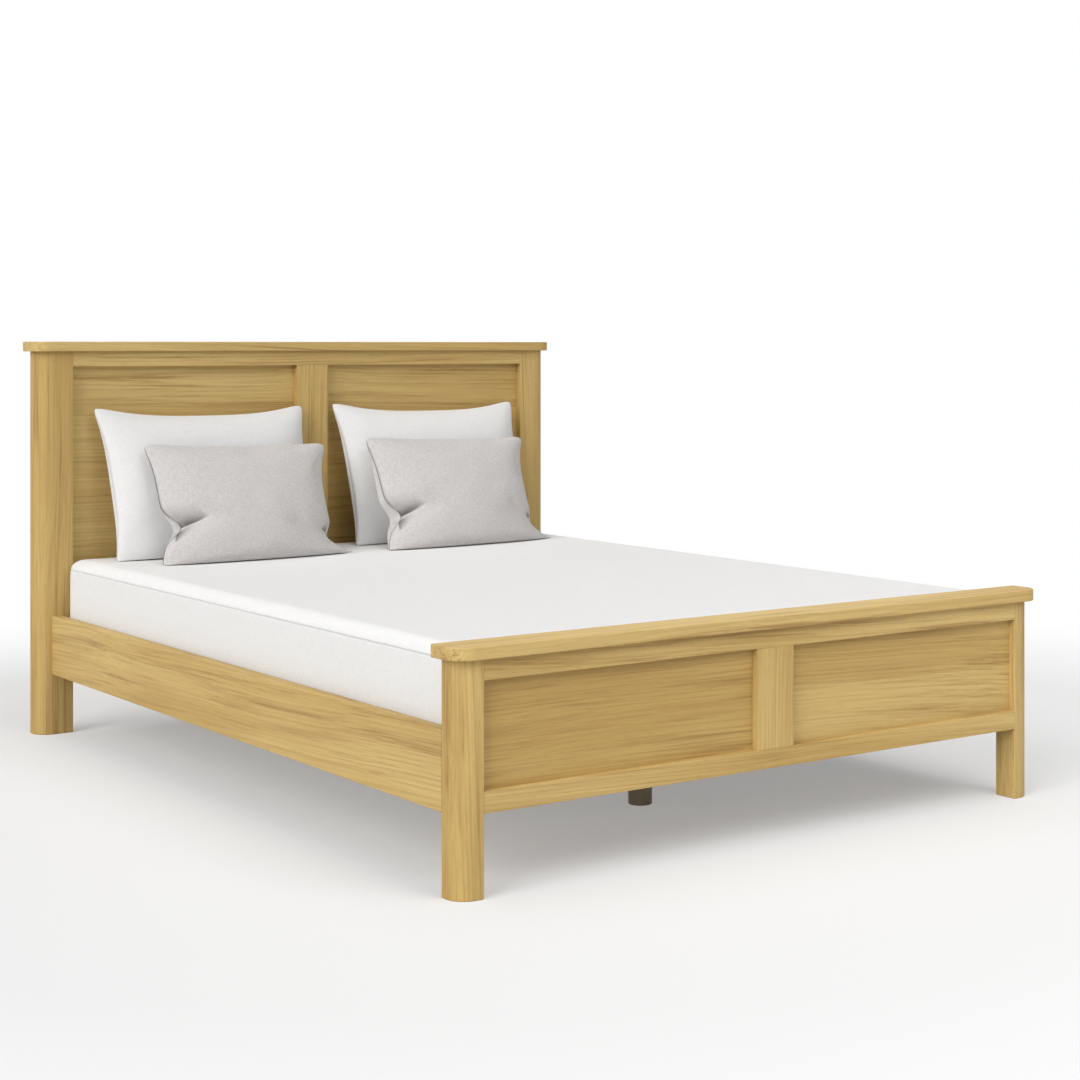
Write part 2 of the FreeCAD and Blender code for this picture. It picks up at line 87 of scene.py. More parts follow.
class WoodSettings(bpy.types.PropertyGroup):
    """Colours and grain of the timber."""
    oak_light: colour("Oak light", "Early wood of the oak boards", (0.640, 0.466, 0.180))
    oak_mid: colour("Oak mid", "Body colour of the oak boards", (0.505, 0.338, 0.108))
    oak_dark: colour("Oak dark", "Late wood and streaks of the oak boards", (0.290, 0.155, 0.042))
    pine_light: colour("Pine light", "Early wood of slats, ledgers and beam", (0.600, 0.460, 0.255))
    pine_mid: colour("Pine mid", "Body colour of slats, ledgers and beam", (0.530, 0.375, 0.180))
    pine_dark: colour("Pine dark", "Late wood of slats, ledgers and beam", (0.360, 0.215, 0.085))
    ring_spacing: length("Ring spacing", "Distance between growth rings", 0.010)
    streaks: share("Streaks", "How strongly darker streaks show", 0.78)


class FabricSettings(bpy.types.PropertyGroup):
    """Colours and threads of the soft pieces."""
    mattress_cover: colour("Mattress cover", "Knitted cover of the mattress", (0.870, 0.863, 0.850))
    pillow_cotton: colour("Pillow cotton", "Plain cotton of the pillows", (0.850, 0.842, 0.832))
    cushion_linen: colour("Cushion linen", "Linen of the cushions", (0.712, 0.680, 0.665))
    cotton_thread: length("Cotton thread", "Spacing of the pillow threads", 0.0007)
    linen_thread: length("Linen thread", "Spacing of the cushion threads", 0.0016)
    seam_depth: length("Seam depth", "How far a sewn seam draws in", 0.004)


class StageSettings(bpy.types.PropertyGroup):
    """Floor and light."""
    floor_colour: colour("Floor", "Colour of the floor", (0.78, 0.78, 0.78))
    key_light: FloatProperty(name="Key light", description="Strength of the soft light from the left",
                             min=0.0, default=2.1)
    top_light: FloatProperty(name="Top light", description="Strength of the soft light from above",
                             min=0.0, default=1.5)
    front_light: FloatProperty(name="Front light", description="Power of the soft light in front of the bed",
                               unit="POWER", min=0.0, default=92.0)
    room_light: share("Room light", "Strength of the even light from all round", 0.10)


# --- meshes from whole arrays ---
def cell_corners(grid):
    """The values at the four corners of each cell of a grid, in order round the cell."""
    cells = np.stack([grid[:-1, :-1], grid[:-1, 1:], grid[1:, 1:], grid[1:, :-1]], axis=2)
    return cells.reshape(-1, *cells.shape[2:])


def new_piece(name, points, quads, cloth_corners, body):
    """Makes a smooth-shaded mesh from points, faces and per-corner cloth coordinates."""
    mesh = bpy.data.meshes.new(name)
    mesh.from_pydata(points.tolist(), [], quads.tolist())
    layer = mesh.uv_layers.new(name=CLOTH_MAP)
    layer.data.foreach_set("uv", cloth_corners.astype(np.float32).ravel())
    mesh.polygons.foreach_set("use_smooth", np.ones(len(quads), dtype=bool))
    mesh.update()
    piece = bpy.data.objects.new(name, mesh)
    bpy.context.scene.collection.objects.link(piece)
    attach(piece, body)
    return piece


def read_points(mesh):
    """All points of a mesh as an array."""
    flat = np.empty(len(mesh.vertices) * 3, dtype=np.float32)
    mesh.vertices.foreach_get("co", flat)
    return flat.reshape(-1, 3).astype(float)


def add_painted_shade_map(piece, shade):
    """Stores how far seams, creases and grooves darken the colour at each point, from 0 to 1, as painted
    shade where their shadow would fall.
    """
    seam = piece.data.attributes.new(PAINTED_SHADE_MAP, "FLOAT", "POINT")
    seam.data.foreach_set("value", shade.astype(np.float32).ravel())


def spaced(count, edge_share):
    """Places from -1 to 1: even steps mixed with sine-spaced ones, which lie closer at both ends."""
    even = np.linspace(-1.0, 1.0, count)
    return (1 - edge_share) * even + edge_share * np.sin(np.pi / 2 * even)


def soft_floor(values, floor, softness):
    """A smooth maximum: floor + softness * log(1 + exp((value - floor) / softness))."""
    return floor + softness * np.logaddexp(0.0, (values - floor) / softness)


def ripples(across, up, wave_length, seed, count=18):
    """A mild random swell: the mean of cosine waves whose directions and phases come from a seed."""
    draw = np.random.default_rng(seed)
    angle = draw.uniform(0, 2 * np.pi, count)
    phase = draw.uniform(0, 2 * np.pi, count)
    rate = 2 * np.pi / (wave_length * draw.uniform(0.7, 1.6, count))
    waves = np.cos(across[..., None] * np.cos(angle) * rate + up[..., None] * np.sin(angle) * rate + phase)
    return waves.sum(axis=-1) / math.sqrt(count)


# --- pillows and cushions ---
@dataclass
class Fold:
    """A pinched valley in a pillow's front, from its side seam inwards.

    Places are a distance in from the side seam and a height above the bottom seam. The valley
    slopes in gently from above and has a sharp lip below.
    """
    side: int
    begin: tuple
    end: tuple
    depth: float
    slope: float
    lip: float


@dataclass
class PillowForm:
    """Sizes of one pillow.

    Corners are (across, out from the headboard's rails, above the mattress). Pairs are (left,
    right). side_pull draws a side seam in at its middle, side_skew moves that pull down the seam,
    and notch draws the seam in again at notch_share of the height. top_pull lowers the middle of
    the top seam, and bottom_bow pushes the middle of the bottom seam out over the mattress.
    back_spread widens the back half at its left notch, and back_straight gives back that share of
    the side_pull. A low back_fullness makes the back half round right up to its side seams.
    """
    bottom_left: tuple
    bottom_right: tuple
    top_left: tuple
    top_right: tuple
    front_bulge: float
    back_bulge: float
    side_pull: tuple
    side_skew: tuple
    notch: tuple
    notch_share: tuple
    top_pull: float
    bottom_bow: float
    back_spread: float
    back_straight: tuple
    back_fullness: float
    folds: tuple
    seed: int

    def corner_grid(self):
        """The four corners in bed coordinates, rows from the bottom up."""
        corners = np.array([[self.bottom_left, self.bottom_right], [self.top_left, self.top_right]])
        corners[..., 1] = RAIL_FACE - corners[..., 1]
        corners[..., 2] += MATTRESS_TOP
        return corners

    def stand_off(self):
        """Length of the seam sheet up the bed's lean, and the direction that its front faces."""
        rise = np.diff(self.corner_grid().mean(axis=1), axis=0)[0, 1:]
        height = np.hypot(*rise)
        return height, np.array([0.0, -rise[1], rise[0]]) / height


# Grid of a pillow and the round of its corners and notches.
PILLOW_COLUMNS = 101
PILLOW_ROWS = 85
EDGE_SHARE = 0.72
CORNER_ROUND = 0.009
CORNER_POWER = 20
NOTCH_HEIGHT = 0.10
BOW_POWER = 2.5
# Crown of a pillow: how it rises from its seams, leans to its bottom, swells and spreads behind.
SIDE_FULLNESS = 0.42
END_FULLNESS = 0.50
CROWN_LEAN = 0.14
CROWN_RIPPLE = 0.02
CROWN_RIPPLE_LENGTH = 0.11
SPREAD_START = 0.03
SPREAD_END = 0.3
# Folds, and the painted shade of creases and seams that stands in for their shadow.
FOLD_POWER = 0.4
FOLD_START_RATE = 6
FOLD_SHARE = 0.9
PAINTED_CREASE_ABOVE = 0.016
PAINTED_CREASE_BELOW = 0.0032
PAINTED_SEAM_HALF = 0.0022
SIDE_SEAM_PAINTED_SHADE = 0.8
END_SEAM_PAINTED_SHADE = 0.35
# Cloth, and how softly it gives way to what it meets.
CLOTH_SETTINGS = {
    "quality": 6, "mass": 0.3, "tension_stiffness": 20.0, "compression_stiffness": 20.0,
    "shear_stiffness": 8.0, "bending_stiffness": 0.6, "use_pressure": True,
}
CLOTH_FRAMES = 16
SWELL_REACH = 0.009
REST_GAP = 0.0004
REST_SOFTNESS = 0.0008
FRONT_SOFTNESS = 0.006
BACK_SOFTNESS = 0.001
# The white pillows' seam at its bottom and top: out from the headboard's rails, above the mattress.
PILLOW_LOW_SEAM = (0.157, -0.014)
PILLOW_HIGH_SEAM = (0.015, 0.410)
CONTACT_DEPTH = 0.066


def fold_shape(fold, from_side, up):
    """Depth and painted shade of one fold, at points given by their distance from the seam and height; the
    shade stands in for the crease's own shadow.

    Across the fold line both fall as exp(-distance / slope) above it and as
    exp(-(distance / lip)^2) below it. Along the line they fall as (1 - run)^FOLD_POWER, and just
    before its start they rise from nothing.
    """
    start = np.array(fold.begin)
    line = np.array(fold.end) - start
    reach = np.hypot(*line)
    way = line / reach
    run = ((from_side - start[0]) * way[0] + (up - start[1]) * way[1]) / reach
    over = ((up - start[1]) * way[0] - (from_side - start[0]) * way[1]) * np.sign(way[0])
    along = np.clip(1 - run, 0, 1) ** FOLD_POWER * np.clip(1 + run * FOLD_START_RATE, 0, 1)
    # The second mask is painted shade, standing in for the crease's shadow.
    depth, shade = (np.where(over > 0, np.exp(-np.abs(over) / above), np.exp(-(over / below) ** 2))
                    for above, below in ((fold.slope, fold.lip), (PAINTED_CREASE_ABOVE, PAINTED_CREASE_BELOW)))
    return fold.depth * along * depth, along * shade


def pillow_grids(form):
    """Front and back of a pillow over its seam outline, as two grids of points.

    a runs across and b up, from -1 to 1, over the sheet between the four corners. The side seams
    draw in by side_pull * (1 - |b|^3) * (1 - skew * b), by a notch
    exp(-((height - its height) / NOTCH_HEIGHT)^2) and at the corners by b^CORNER_POWER. The top
    seam draws in by top_pull * (1 - |a|^3), and the bottom seam bows out on the mattress. Each half
    stands off the sheet by its bulge times (1 - a^2)^fullness (1 - b^2)^END_FULLNESS, and the back
    half spreads past the side seams.
    """
    a, b = np.meshgrid(spaced(PILLOW_COLUMNS, EDGE_SHARE), spaced(PILLOW_ROWS, EDGE_SHARE))
    height, facing = form.stand_off()
    up = (b + 1) / 2
    corners = form.corner_grid()
    width = np.ptp(corners[..., 0], axis=1).mean()
    dent = np.exp(-((up - np.where(a < 0, *form.notch_share)) / NOTCH_HEIGHT) ** 2)
    skew = 1 - b * np.where(a < 0, *form.side_skew)
    curve = np.where(a < 0, *form.side_pull) * (1 - np.abs(b) ** 3) * skew
    pull = curve + np.where(a < 0, *form.notch) * dent + CORNER_ROUND * b ** CORNER_POWER
    right = (1 + a * (1 - 2 * pull / width)) / 2
    sag = form.top_pull * (1 - np.abs(a) ** 3) * up + CORNER_ROUND * a ** CORNER_POWER * b
    raised = up * (1 - sag / height)
    sheet = sum(weight[..., None] * corner for weight, corner in (
        ((1 - right) * (1 - raised), corners[0, 0]), (right * (1 - raised), corners[0, 1]),
        ((1 - right) * raised, corners[1, 0]), (right * raised, corners[1, 1])))
    sheet[..., 1] -= form.bottom_bow * (1 - np.abs(a) ** BOW_POWER) * (1 - up) ** 3
    crown = (1 - b * b) ** END_FULLNESS * (1 - CROWN_LEAN * b)
    swell = 1 + CROWN_RIPPLE * ripples(sheet[..., 0], up * height, CROWN_RIPPLE_LENGTH, form.seed)
    rise = form.front_bulge * crown * (1 - a * a) ** SIDE_FULLNESS * swell
    front = sheet + rise[..., None] * facing
    back = sheet - (form.back_bulge * crown * (1 - a * a) ** form.back_fullness)[..., None] * facing
    inside = 1 - np.abs(a)
    spread = (1 - np.exp(-inside / SPREAD_START)) * np.exp(-inside / SPREAD_END)
    straight = np.where(a < 0, *form.back_straight) * curve
    back[..., 0] += np.sign(a) * spread * (straight + form.back_spread * dent * (a < 0))
    return front, back


def lengths_from_middle(grid, axis):
    """Distance of each grid point from the middle of its row or column, along the surface."""
    steps = np.linalg.norm(np.diff(grid, axis=axis), axis=-1)
    run = np.insert(np.cumsum(steps, axis=axis), 0, 0.0, axis=axis)
    return run - np.take(run, [run.shape[axis] // 2], axis=axis)


def cloth_corners_of(grid, quads):
    """Cloth coordinates of each face corner: lengths across and up the surface, in metres."""
    cloth = np.stack([lengths_from_middle(grid, 1), lengths_from_middle(grid, 0)], axis=-1)
    return cloth.reshape(-1, 2)[quads]


def two_sided(front, back):
    """Joins two grids that share their rim into one closed mesh, and names its rim points."""
    rows, columns = front.shape[:2]
    front_index = np.arange(rows * columns).reshape(rows, columns)
    back_index = front_index.copy()
    inner = back_index[1:-1, 1:-1]
    back_index[1:-1, 1:-1] = rows * columns + np.arange(inner.size).reshape(inner.shape)
    points = np.concatenate([front.reshape(-1, 3), back[1:-1, 1:-1].reshape(-1, 3)])
    own_quads = cell_corners(front_index)
    quads = np.concatenate([own_quads, cell_corners(back_index)[:, ::-1]])
    cloth_corners = np.concatenate([cloth_corners_of(front, own_quads),
                                    cloth_corners_of(back, own_quads[:, ::-1])])
    rim = np.setdiff1d(front_index, front_index[1:-1, 1:-1])
    return points, quads, cloth_corners, rim


def halves(values):
    """Values of all points as a front and a back grid that share their rim."""
    count = PILLOW_ROWS * PILLOW_COLUMNS
    front = values[:count].reshape(PILLOW_ROWS, PILLOW_COLUMNS, -1).copy()
    back = front.copy()
    back[1:-1, 1:-1] = values[count:].reshape(PILLOW_ROWS - 2, PILLOW_COLUMNS - 2, -1)
    return front, back


def from_halves(front, back):
    """The reverse of halves."""
    return np.concatenate([front.reshape(-1, front.shape[-1]), back[1:-1, 1:-1].reshape(-1, back.shape[-1])])


def blurred(grid, passes):
    """Takes small wrinkles out: each inner value becomes the mean of its four neighbours."""
    for _ in range(passes):
        grid[1:-1, 1:-1] = (grid[:-2, 1:-1] + grid[2:, 1:-1] + grid[1:-1, :-2] + grid[1:-1, 2:]) / 4
    return grid


def refined(grid):
    """Doubles a grid's rows and columns: (9 * the two nearest - the next two) / 16 between points."""
    for axis in (0, 1):
        grid = np.moveaxis(grid, axis, 0)
        longer = np.concatenate([2 * grid[:1] - grid[1:2], grid, 2 * grid[-1:] - grid[-2:-1]])
        finer = np.empty((2 * len(grid) - 1, *grid.shape[1:]))
        finer[::2] = grid
        finer[1::2] = (9 * (longer[1:-2] + longer[2:-1]) - longer[:-3] - longer[3:]) / 16
        grid = np.moveaxis(finer, 0, axis)
    return grid


def swell_as_cloth(points, quads, rim, pressure, growth, passes):
    """Blows a closed shape up as cloth with its seam held, and keeps every point within reach."""
    scene = bpy.context.scene
    mesh = bpy.data.meshes.new("swelling")
    mesh.from_pydata(points.tolist(), [], quads.tolist())
    piece = bpy.data.objects.new("swelling", mesh)
    scene.collection.objects.link(piece)
    held = piece.vertex_groups.new(name="seam")
    held.add(rim.tolist(), 1.0, "REPLACE")
    cloth = piece.modifiers.new("cloth", "CLOTH")
    for key, value in CLOTH_SETTINGS.items():
        setattr(cloth.settings, key, value)
    cloth.settings.uniform_pressure_force = pressure
    cloth.settings.shrink_min = -growth
    cloth.settings.vertex_group_mass = held.name
    cloth.settings.effector_weights.gravity = 0.0
    cloth.collision_settings.use_collision = False
    for number in range(1, CLOTH_FRAMES + 1):
        scene.frame_set(number)
    evaluated = piece.evaluated_get(bpy.context.evaluated_depsgraph_get())
    moved = read_points(evaluated.data) - points
    distance = np.linalg.norm(moved, axis=1, keepdims=True)
    moved *= SWELL_REACH * np.tanh(distance / SWELL_REACH) / np.maximum(distance, 1e-9)
    moved = from_halves(*(blurred(half, passes) for half in halves(moved)))
    bpy.data.objects.remove(piece)
    bpy.data.meshes.remove(mesh)
    scene.frame_set(1)
    return points + moved


def painted_seam_shade(grid):
    """Painted shade along a pillow's seams, where their shadow would fall: exp(-(distance / half width)^2) of
    each point from its side seam, and less at top and bottom.
    """
    ends = np.min([np.linalg.norm(grid - rim, axis=-1) for rim in (grid[:1], grid[-1:])], axis=0)
    sides = np.min([np.linalg.norm(grid - rim, axis=-1) for rim in (grid[:, :1], grid[:, -1:])], axis=0)
    return np.maximum(SIDE_SEAM_PAINTED_SHADE * np.exp(-(sides / PAINTED_SEAM_HALF) ** 2),
                      END_SEAM_PAINTED_SHADE * np.exp(-(ends / PAINTED_SEAM_HALF) ** 2))


def pinch(front, form):
    """Presses the form's folds into the front grid, and gives each point the painted shade of its seams and
    creases, from 0 to 1.
    """
    height, facing = form.stand_off()
    corners = form.corner_grid()
    rise = (spaced(PILLOW_ROWS, EDGE_SHARE) + 1) / 2 * height
    up = refined(np.repeat(rise[:, None], PILLOW_COLUMNS, axis=1))
    depth = np.zeros_like(up)
    # Painted shade along the seams and in the creases, where their shadow would fall.
    shade = painted_seam_shade(front)
    for fold in form.folds:
        rim = front[:, :1] if fold.side < 0 else front[:, -1:]
        valley, line = fold_shape(fold, np.abs(front[..., 0] - rim[..., 0]), up)
        depth = np.maximum(depth, valley)
        shade = np.maximum(shade, line)
    seam_y = corners[0, :, 1].mean() + up / height * np.diff(corners[..., 1].mean(axis=1))
    depth = np.minimum(depth, np.clip((seam_y - front[..., 1]) * FOLD_SHARE, 0, None))
    depth[[0, -1]] = 0
    depth[:, [0, -1]] = 0
    return front - depth[..., None] * facing, shade


def draw_in_seam(points, rim, form, depth):
    """Moves the seam points towards the middle of the piece, so that the seam lies in a groove."""
    inwards = form.corner_grid().mean(axis=(0, 1)) - points[rim]
    points[rim] += inwards / np.linalg.norm(inwards, axis=1, keepdims=True) * depth


def contact_plane(z):
    """Where a cushion lies on its pillow: a plane parallel to the pillow's seam, in front of it."""
    slope = (PILLOW_LOW_SEAM[0] - PILLOW_HIGH_SEAM[0]) / (PILLOW_HIGH_SEAM[1] - PILLOW_LOW_SEAM[1])
    out = PILLOW_LOW_SEAM[0] - slope * (z - MATTRESS_TOP - PILLOW_LOW_SEAM[1])
    return RAIL_FACE - out - CONTACT_DEPTH * math.hypot(slope, 1.0)


def press(points, keep_behind, keep_in_front):
    """Presses points up off the mattress, back behind one surface and out in front of another."""
    x, y, z = points.T
    z = soft_floor(z, MATTRESS_TOP + REST_GAP, REST_SOFTNESS)
    if keep_behind is not None:
        y = soft_floor(y, keep_behind(z), FRONT_SOFTNESS)
    y = -soft_floor(-y, -keep_in_front(z), BACK_SOFTNESS)
    return np.stack([x, y, z], axis=-1)


def make_pillow(name, form, body, limits, swelling):
    """Builds one pillow: outline and crown, then cloth, then its folds, contacts and seam, and the painted
    shade of its seams and creases.
    """
    points, quads, _, rim = two_sided(*pillow_grids(form))
    points = press(points, *limits)
    points = swell_as_cloth(points, quads, rim, **swelling)
    front, back = (refined(half) for half in halves(points))
    folded, shade = pinch(front, form)
    _, quads, cloth_corners, rim = two_sided(front, back)
    points = from_halves(folded, back)
    draw_in_seam(points, rim, form, bpy.context.scene.bed_fabric.seam_depth)
    piece = new_piece(name, press(points, *limits), quads, cloth_corners, body)
    # Stores the painted shade of seams and creases on the piece.
    add_painted_shade_map(piece, from_halves(shade[..., None], painted_seam_shade(back)[..., None]))
    return piece


def finish_soft(piece, node, material):
    """Dresses a soft piece and lets it stand for its plain solid."""
    piece.data.materials.append(material)
    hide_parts(node)


# --- mattress ---
MATTRESS_CORNER = 0.045
SHOULDER_WIDTH = 0.042
SHOULDER_HEIGHT = 0.030
MATTRESS_SEAM_DROP = 0.027
SEAM_GROOVE_DEPTH = 0.0030
SEAM_GROOVE_HALF = 0.0018
MATTRESS_THREAD = 0.0026
SIDE_POINTS = 120
END_POINTS = 90
CORNER_POINTS = 16
SHOULDER_ROWS = 14
GROOVE_ROWS = 11
BORDER_ROWS = 20
FLAT_RINGS = 25
RING_POWER = 1.2
COVER_GAP = 0.0004
PUCKER_DEPTH = 0.0005
PUCKER_LENGTH = 0.09
PUCKER_REACH = 0.02
TOP_DROP = 0.0012
TOP_SWELL = 0.0004
TOP_SWELL_LENGTH = 0.6
LEVEL_RISE = 0.0003
MATTRESS_SEAMS = (MATTRESS_LOW[2] + MATTRESS_SEAM_DROP, MATTRESS_TOP - MATTRESS_SEAM_DROP)


def rounded_outline(low, high, radius):
    """Points and outward directions round a rectangle with round corners, anticlockwise."""
    centres = ((high[0] - radius, low[1] + radius), (high[0] - radius, high[1] - radius),
               (low[0] + radius, high[1] - radius), (low[0] + radius, low[1] + radius))
    places = []
    ways = []
    for number, centre in enumerate(centres):
        turn = np.radians(-90 + 90 * number + np.linspace(0, 90, CORNER_POINTS))
        way = np.stack([np.cos(turn), np.sin(turn)], axis=-1)
        arc = np.array(centre) + radius * way
        following = np.array(centres[(number + 1) % 4]) + radius * way[-1]
        steps = SIDE_POINTS if number % 2 == 0 else END_POINTS
        run = np.linspace(0, 1, steps + 2)[1:-1, None]
        places += [arc, arc[-1] + run * (following - arc[-1])]
        ways += [way, np.repeat(way[-1:], steps, axis=0)]
    return np.concatenate(places), np.concatenate(ways)


def shoulder_profile():
    """Inset and height up the mattress side, with a round edge at both ends and two sewn grooves.

    Near the top and the bottom the inset is that of a quarter ellipse, width * (1 - root(1 - h^2)).
    Each groove adds depth * exp(-(height / half width)^2).
    """
    low = MATTRESS_LOW[2]
    top = MATTRESS_TOP
    turn = np.sin(np.linspace(0, np.pi / 2, SHOULDER_ROWS)) * SHOULDER_HEIGHT
    fine = SEAM_GROOVE_HALF * np.linspace(-2.5, 2.5, GROOVE_ROWS)
    heights = np.unique(np.concatenate([
        low + SHOULDER_HEIGHT - turn, top - SHOULDER_HEIGHT + turn, *(seam + fine for seam in MATTRESS_SEAMS),
        np.linspace(low + 1.3 * SHOULDER_HEIGHT, top - 1.3 * SHOULDER_HEIGHT, BORDER_ROWS)]))
    past_edge = np.maximum(heights - (top - SHOULDER_HEIGHT), low + SHOULDER_HEIGHT - heights)
    bend = np.clip(past_edge / SHOULDER_HEIGHT, 0, 1)
    inset = SHOULDER_WIDTH * (1 - np.sqrt(1 - bend ** 2))
    for seam in MATTRESS_SEAMS:
        inset += SEAM_GROOVE_DEPTH * np.exp(-((heights - seam) / SEAM_GROOVE_HALF) ** 2)
    return np.stack([inset, heights], axis=-1)


def mattress_points():
    """Rings of the mattress from its underside to its top, and the lengths round its plan.

    The side rings follow the rounded plan, moved in by the profile's inset and by puckers, which
    fade as exp(-(height from the upper seam / PUCKER_REACH)^2). The flat rings run from there to
    the middle line: (1 - share^RING_POWER) * rim + share^RING_POWER * line.
    """
    outline, ways = rounded_outline(MATTRESS_LOW, MATTRESS_HIGH, MATTRESS_CORNER)
    profile = shoulder_profile()
    rings = outline[None] - ways[None] * profile[:, 0][:, None, None]
    heights = np.repeat(profile[:, 1][:, None], len(outline), axis=1)
    around = np.concatenate([[0], np.cumsum(np.linalg.norm(np.diff(outline, axis=0), axis=1))])
    puckers = ripples(around[None].repeat(len(profile), 0), heights * 0.3, PUCKER_LENGTH, 5)
    near_seam = np.exp(-((heights - MATTRESS_SEAMS[1]) / PUCKER_REACH) ** 2)
    rings -= ways[None] * (PUCKER_DEPTH * puckers * near_seam + COVER_GAP)[..., None]
    width, depth = np.subtract(MATTRESS_HIGH, MATTRESS_LOW)[:2]
    middle_x, middle_y = np.add(MATTRESS_HIGH, MATTRESS_LOW)[:2] / 2
    line_y = np.clip(outline[:, 1], middle_y - (depth - width) / 2, middle_y + (depth - width) / 2)
    line = np.stack([np.full_like(line_y, middle_x), line_y], axis=-1)
    blend = np.linspace(0, 1, FLAT_RINGS + 1)[1:, None, None] ** RING_POWER
    top_rings = rings[-1][None] * (1 - blend) + line[None] * blend
    low_rings = (rings[0][None] * (1 - blend) + line[None] * blend)[::-1]
    dip = TOP_SWELL * ripples(top_rings[..., 0], top_rings[..., 1], TOP_SWELL_LENGTH, 8) - TOP_DROP
    top_heights = MATTRESS_TOP + dip * np.clip(blend[..., 0] * 4, 0, 1)
    low_heights = np.full(low_rings.shape[:2], MATTRESS_LOW[2])
    plan = np.concatenate([low_rings, rings, top_rings])
    up = np.concatenate([low_heights, heights, top_heights])
    return np.concatenate([plan, up[..., None]], axis=-1), around


def mattress_mesh():
    """Closes the mattress rings into points, faces and cloth coordinates."""
    rings, around = mattress_points()
    count, size = rings.shape[:2]
    index = np.arange(count * size).reshape(count, size)
    wrapped = np.concatenate([index, index[:, :1]], axis=1)
    quads = cell_corners(wrapped)
    points = rings.reshape(-1, 3)
    total = np.append(around, around[-1] + np.linalg.norm(rings[0, 0, :2] - rings[0, -1, :2]))
    up = np.append(rings[..., 2], rings[:, :1, 2], axis=1)
    border = np.stack(np.broadcast_arrays(total[None, :], up), axis=-1)
    steep = np.ptp(points[quads][..., 2], axis=1) > LEVEL_RISE
    cloth_corners = np.where(steep[:, None, None], cell_corners(border), points[quads][..., :2])
    return points, quads, cloth_corners


def mattress_painted_groove_shade(heights):
    """Painted shade of the sewn grooves: exp(-(height from the nearer seam / half width)^2), as deep as the
    sewn groove is.
    """
    nearest = np.min([np.abs(heights - seam) for seam in MATTRESS_SEAMS], axis=0)
    return np.exp(-(nearest / SEAM_GROOVE_HALF) ** 2)


# --- shader nodes ---
WHITE = (1.0, 1.0, 1.0, 1.0)


def add(tree, kind, inputs=None, **options):
    """Adds a shader node, sets its options, and links or fills its inputs."""
    node = tree.nodes.new(f"ShaderNode{kind}")
    for key, value in options.items():
        setattr(node, key, value)
    for key, value in (inputs or {}).items():
        if isinstance(value, bpy.types.NodeSocket):
            tree.links.new(value, node.inputs[key])
        else:
            node.inputs[key].default_value = value
    return node


def calc(tree, operation, *values):
    """One step of arithmetic in a shader."""
    return add(tree, "Math", dict(enumerate(values)), operation=operation).outputs[0]


def times(tree, first, second):
    """first * second in a shader."""
    return calc(tree, "MULTIPLY", first, second)


def plus(tree, first, second):
    """first + second in a shader."""
    return calc(tree, "ADD", first, second)


def minus(tree, first, second):
    """first - second in a shader."""
    return calc(tree, "SUBTRACT", first, second)


def ramp(tree, base, value, slope):
    """base + value * slope in a shader."""
    return plus(tree, base, times(tree, value, slope))


def vector_calc(tree, operation, *values):
    """One step of vector arithmetic in a shader."""
    return add(tree, "VectorMath", dict(enumerate(values)), operation=operation).outputs


def blend_colours(tree, factor, first, second):
    """Mixes two colours."""
    return add(tree, "Mix", {0: factor, 6: first, 7: second}, data_type="RGBA").outputs[2]


def between(tree, value, low, high):
    """A smooth step from 0 at low to 1 at high."""
    return add(tree, "MapRange", {0: value, 1: low, 2: high, 3: 0.0, 4: 1.0},
               interpolation_type="SMOOTHSTEP").outputs[0]


def stretched_noise(tree, vector, rates, detail=2.0, roughness=0.5):
    """Noise whose rate differs along each axis, in cycles per metre."""
    scaled = vector_calc(tree, "MULTIPLY", vector, rates)[0]
    return add(tree, "TexNoise", {"Vector": scaled, "Scale": 1.0, "Detail": detail,
                                  "Roughness": roughness}).outputs["Fac"]


def rgba(values):
    """A colour with full alpha."""
    return (values[0], values[1], values[2], 1.0)


def new_group(name, inputs, outputs):
    """A shader node group whose sockets are named here and of kind Float, Color or Vector."""
    group = bpy.data.node_groups.new(name, "ShaderNodeTree")
    for way, sockets in (("INPUT", inputs), ("OUTPUT", outputs)):
        for label, kind in sockets.items():
            group.interface.new_socket(name=label, in_out=way, socket_type=f"NodeSocket{kind}")
    return group, group.nodes.new("NodeGroupInput").outputs, group.nodes.new("NodeGroupOutput").inputs


SURFACE = {"Color": "Color", "Height": "Float", "Roughness": "Float"}
# How a board's grain bends: noise rates in cycles per metre, detail, and reach in metres.
GRAIN_BENDS = (((2.2, 2.2, 0.8), 1.0, 0.075), ((10.0, 10.0, 2.4), 2.0, 0.009))
RING_NOISE = (22.0, 22.0, 0.5)
RING_WANDER = 2.6
# Shares of a ring at which late wood begins and is at its darkest.
LATE_WOOD = (0.35, 0.92)
# Masks of the grain: cycles per metre across and along the board, detail and roughness of the
# noise, and the two noise values between which the mask rises from 0 to 1.
GRAIN_MASKS = {
    "kept": (26.0, 1.3, 2.0, 0.5, 0.38, 0.66),
    "streak": (60.0, 1.4, 2.0, 0.5, 0.52, 0.72),
    "band": (14.0, 0.9, 2.0, 0.5, 0.46, 0.74),
    "broad": (5.0, 0.5, 2.0, 0.5, 0.36, 0.64),
    "line": (130.0, 1.8, 2.0, 0.5, 0.47, 0.68),
    "fine": (290.0, 2.6, 3.0, 0.6, 0.42, 0.64),
    "pore": (1100.0, 26.0, 1.0, 0.5, 0.62, 0.72),
}
FIBRE_NOISE = (520.0, 520.0, 9.0)
# How far each mask draws the colour to the dark one.
GRAIN_SHADES = {"band": 0.24, "late": 0.34, "line": 0.24, "fine": 0.17, "fibre": 0.12}


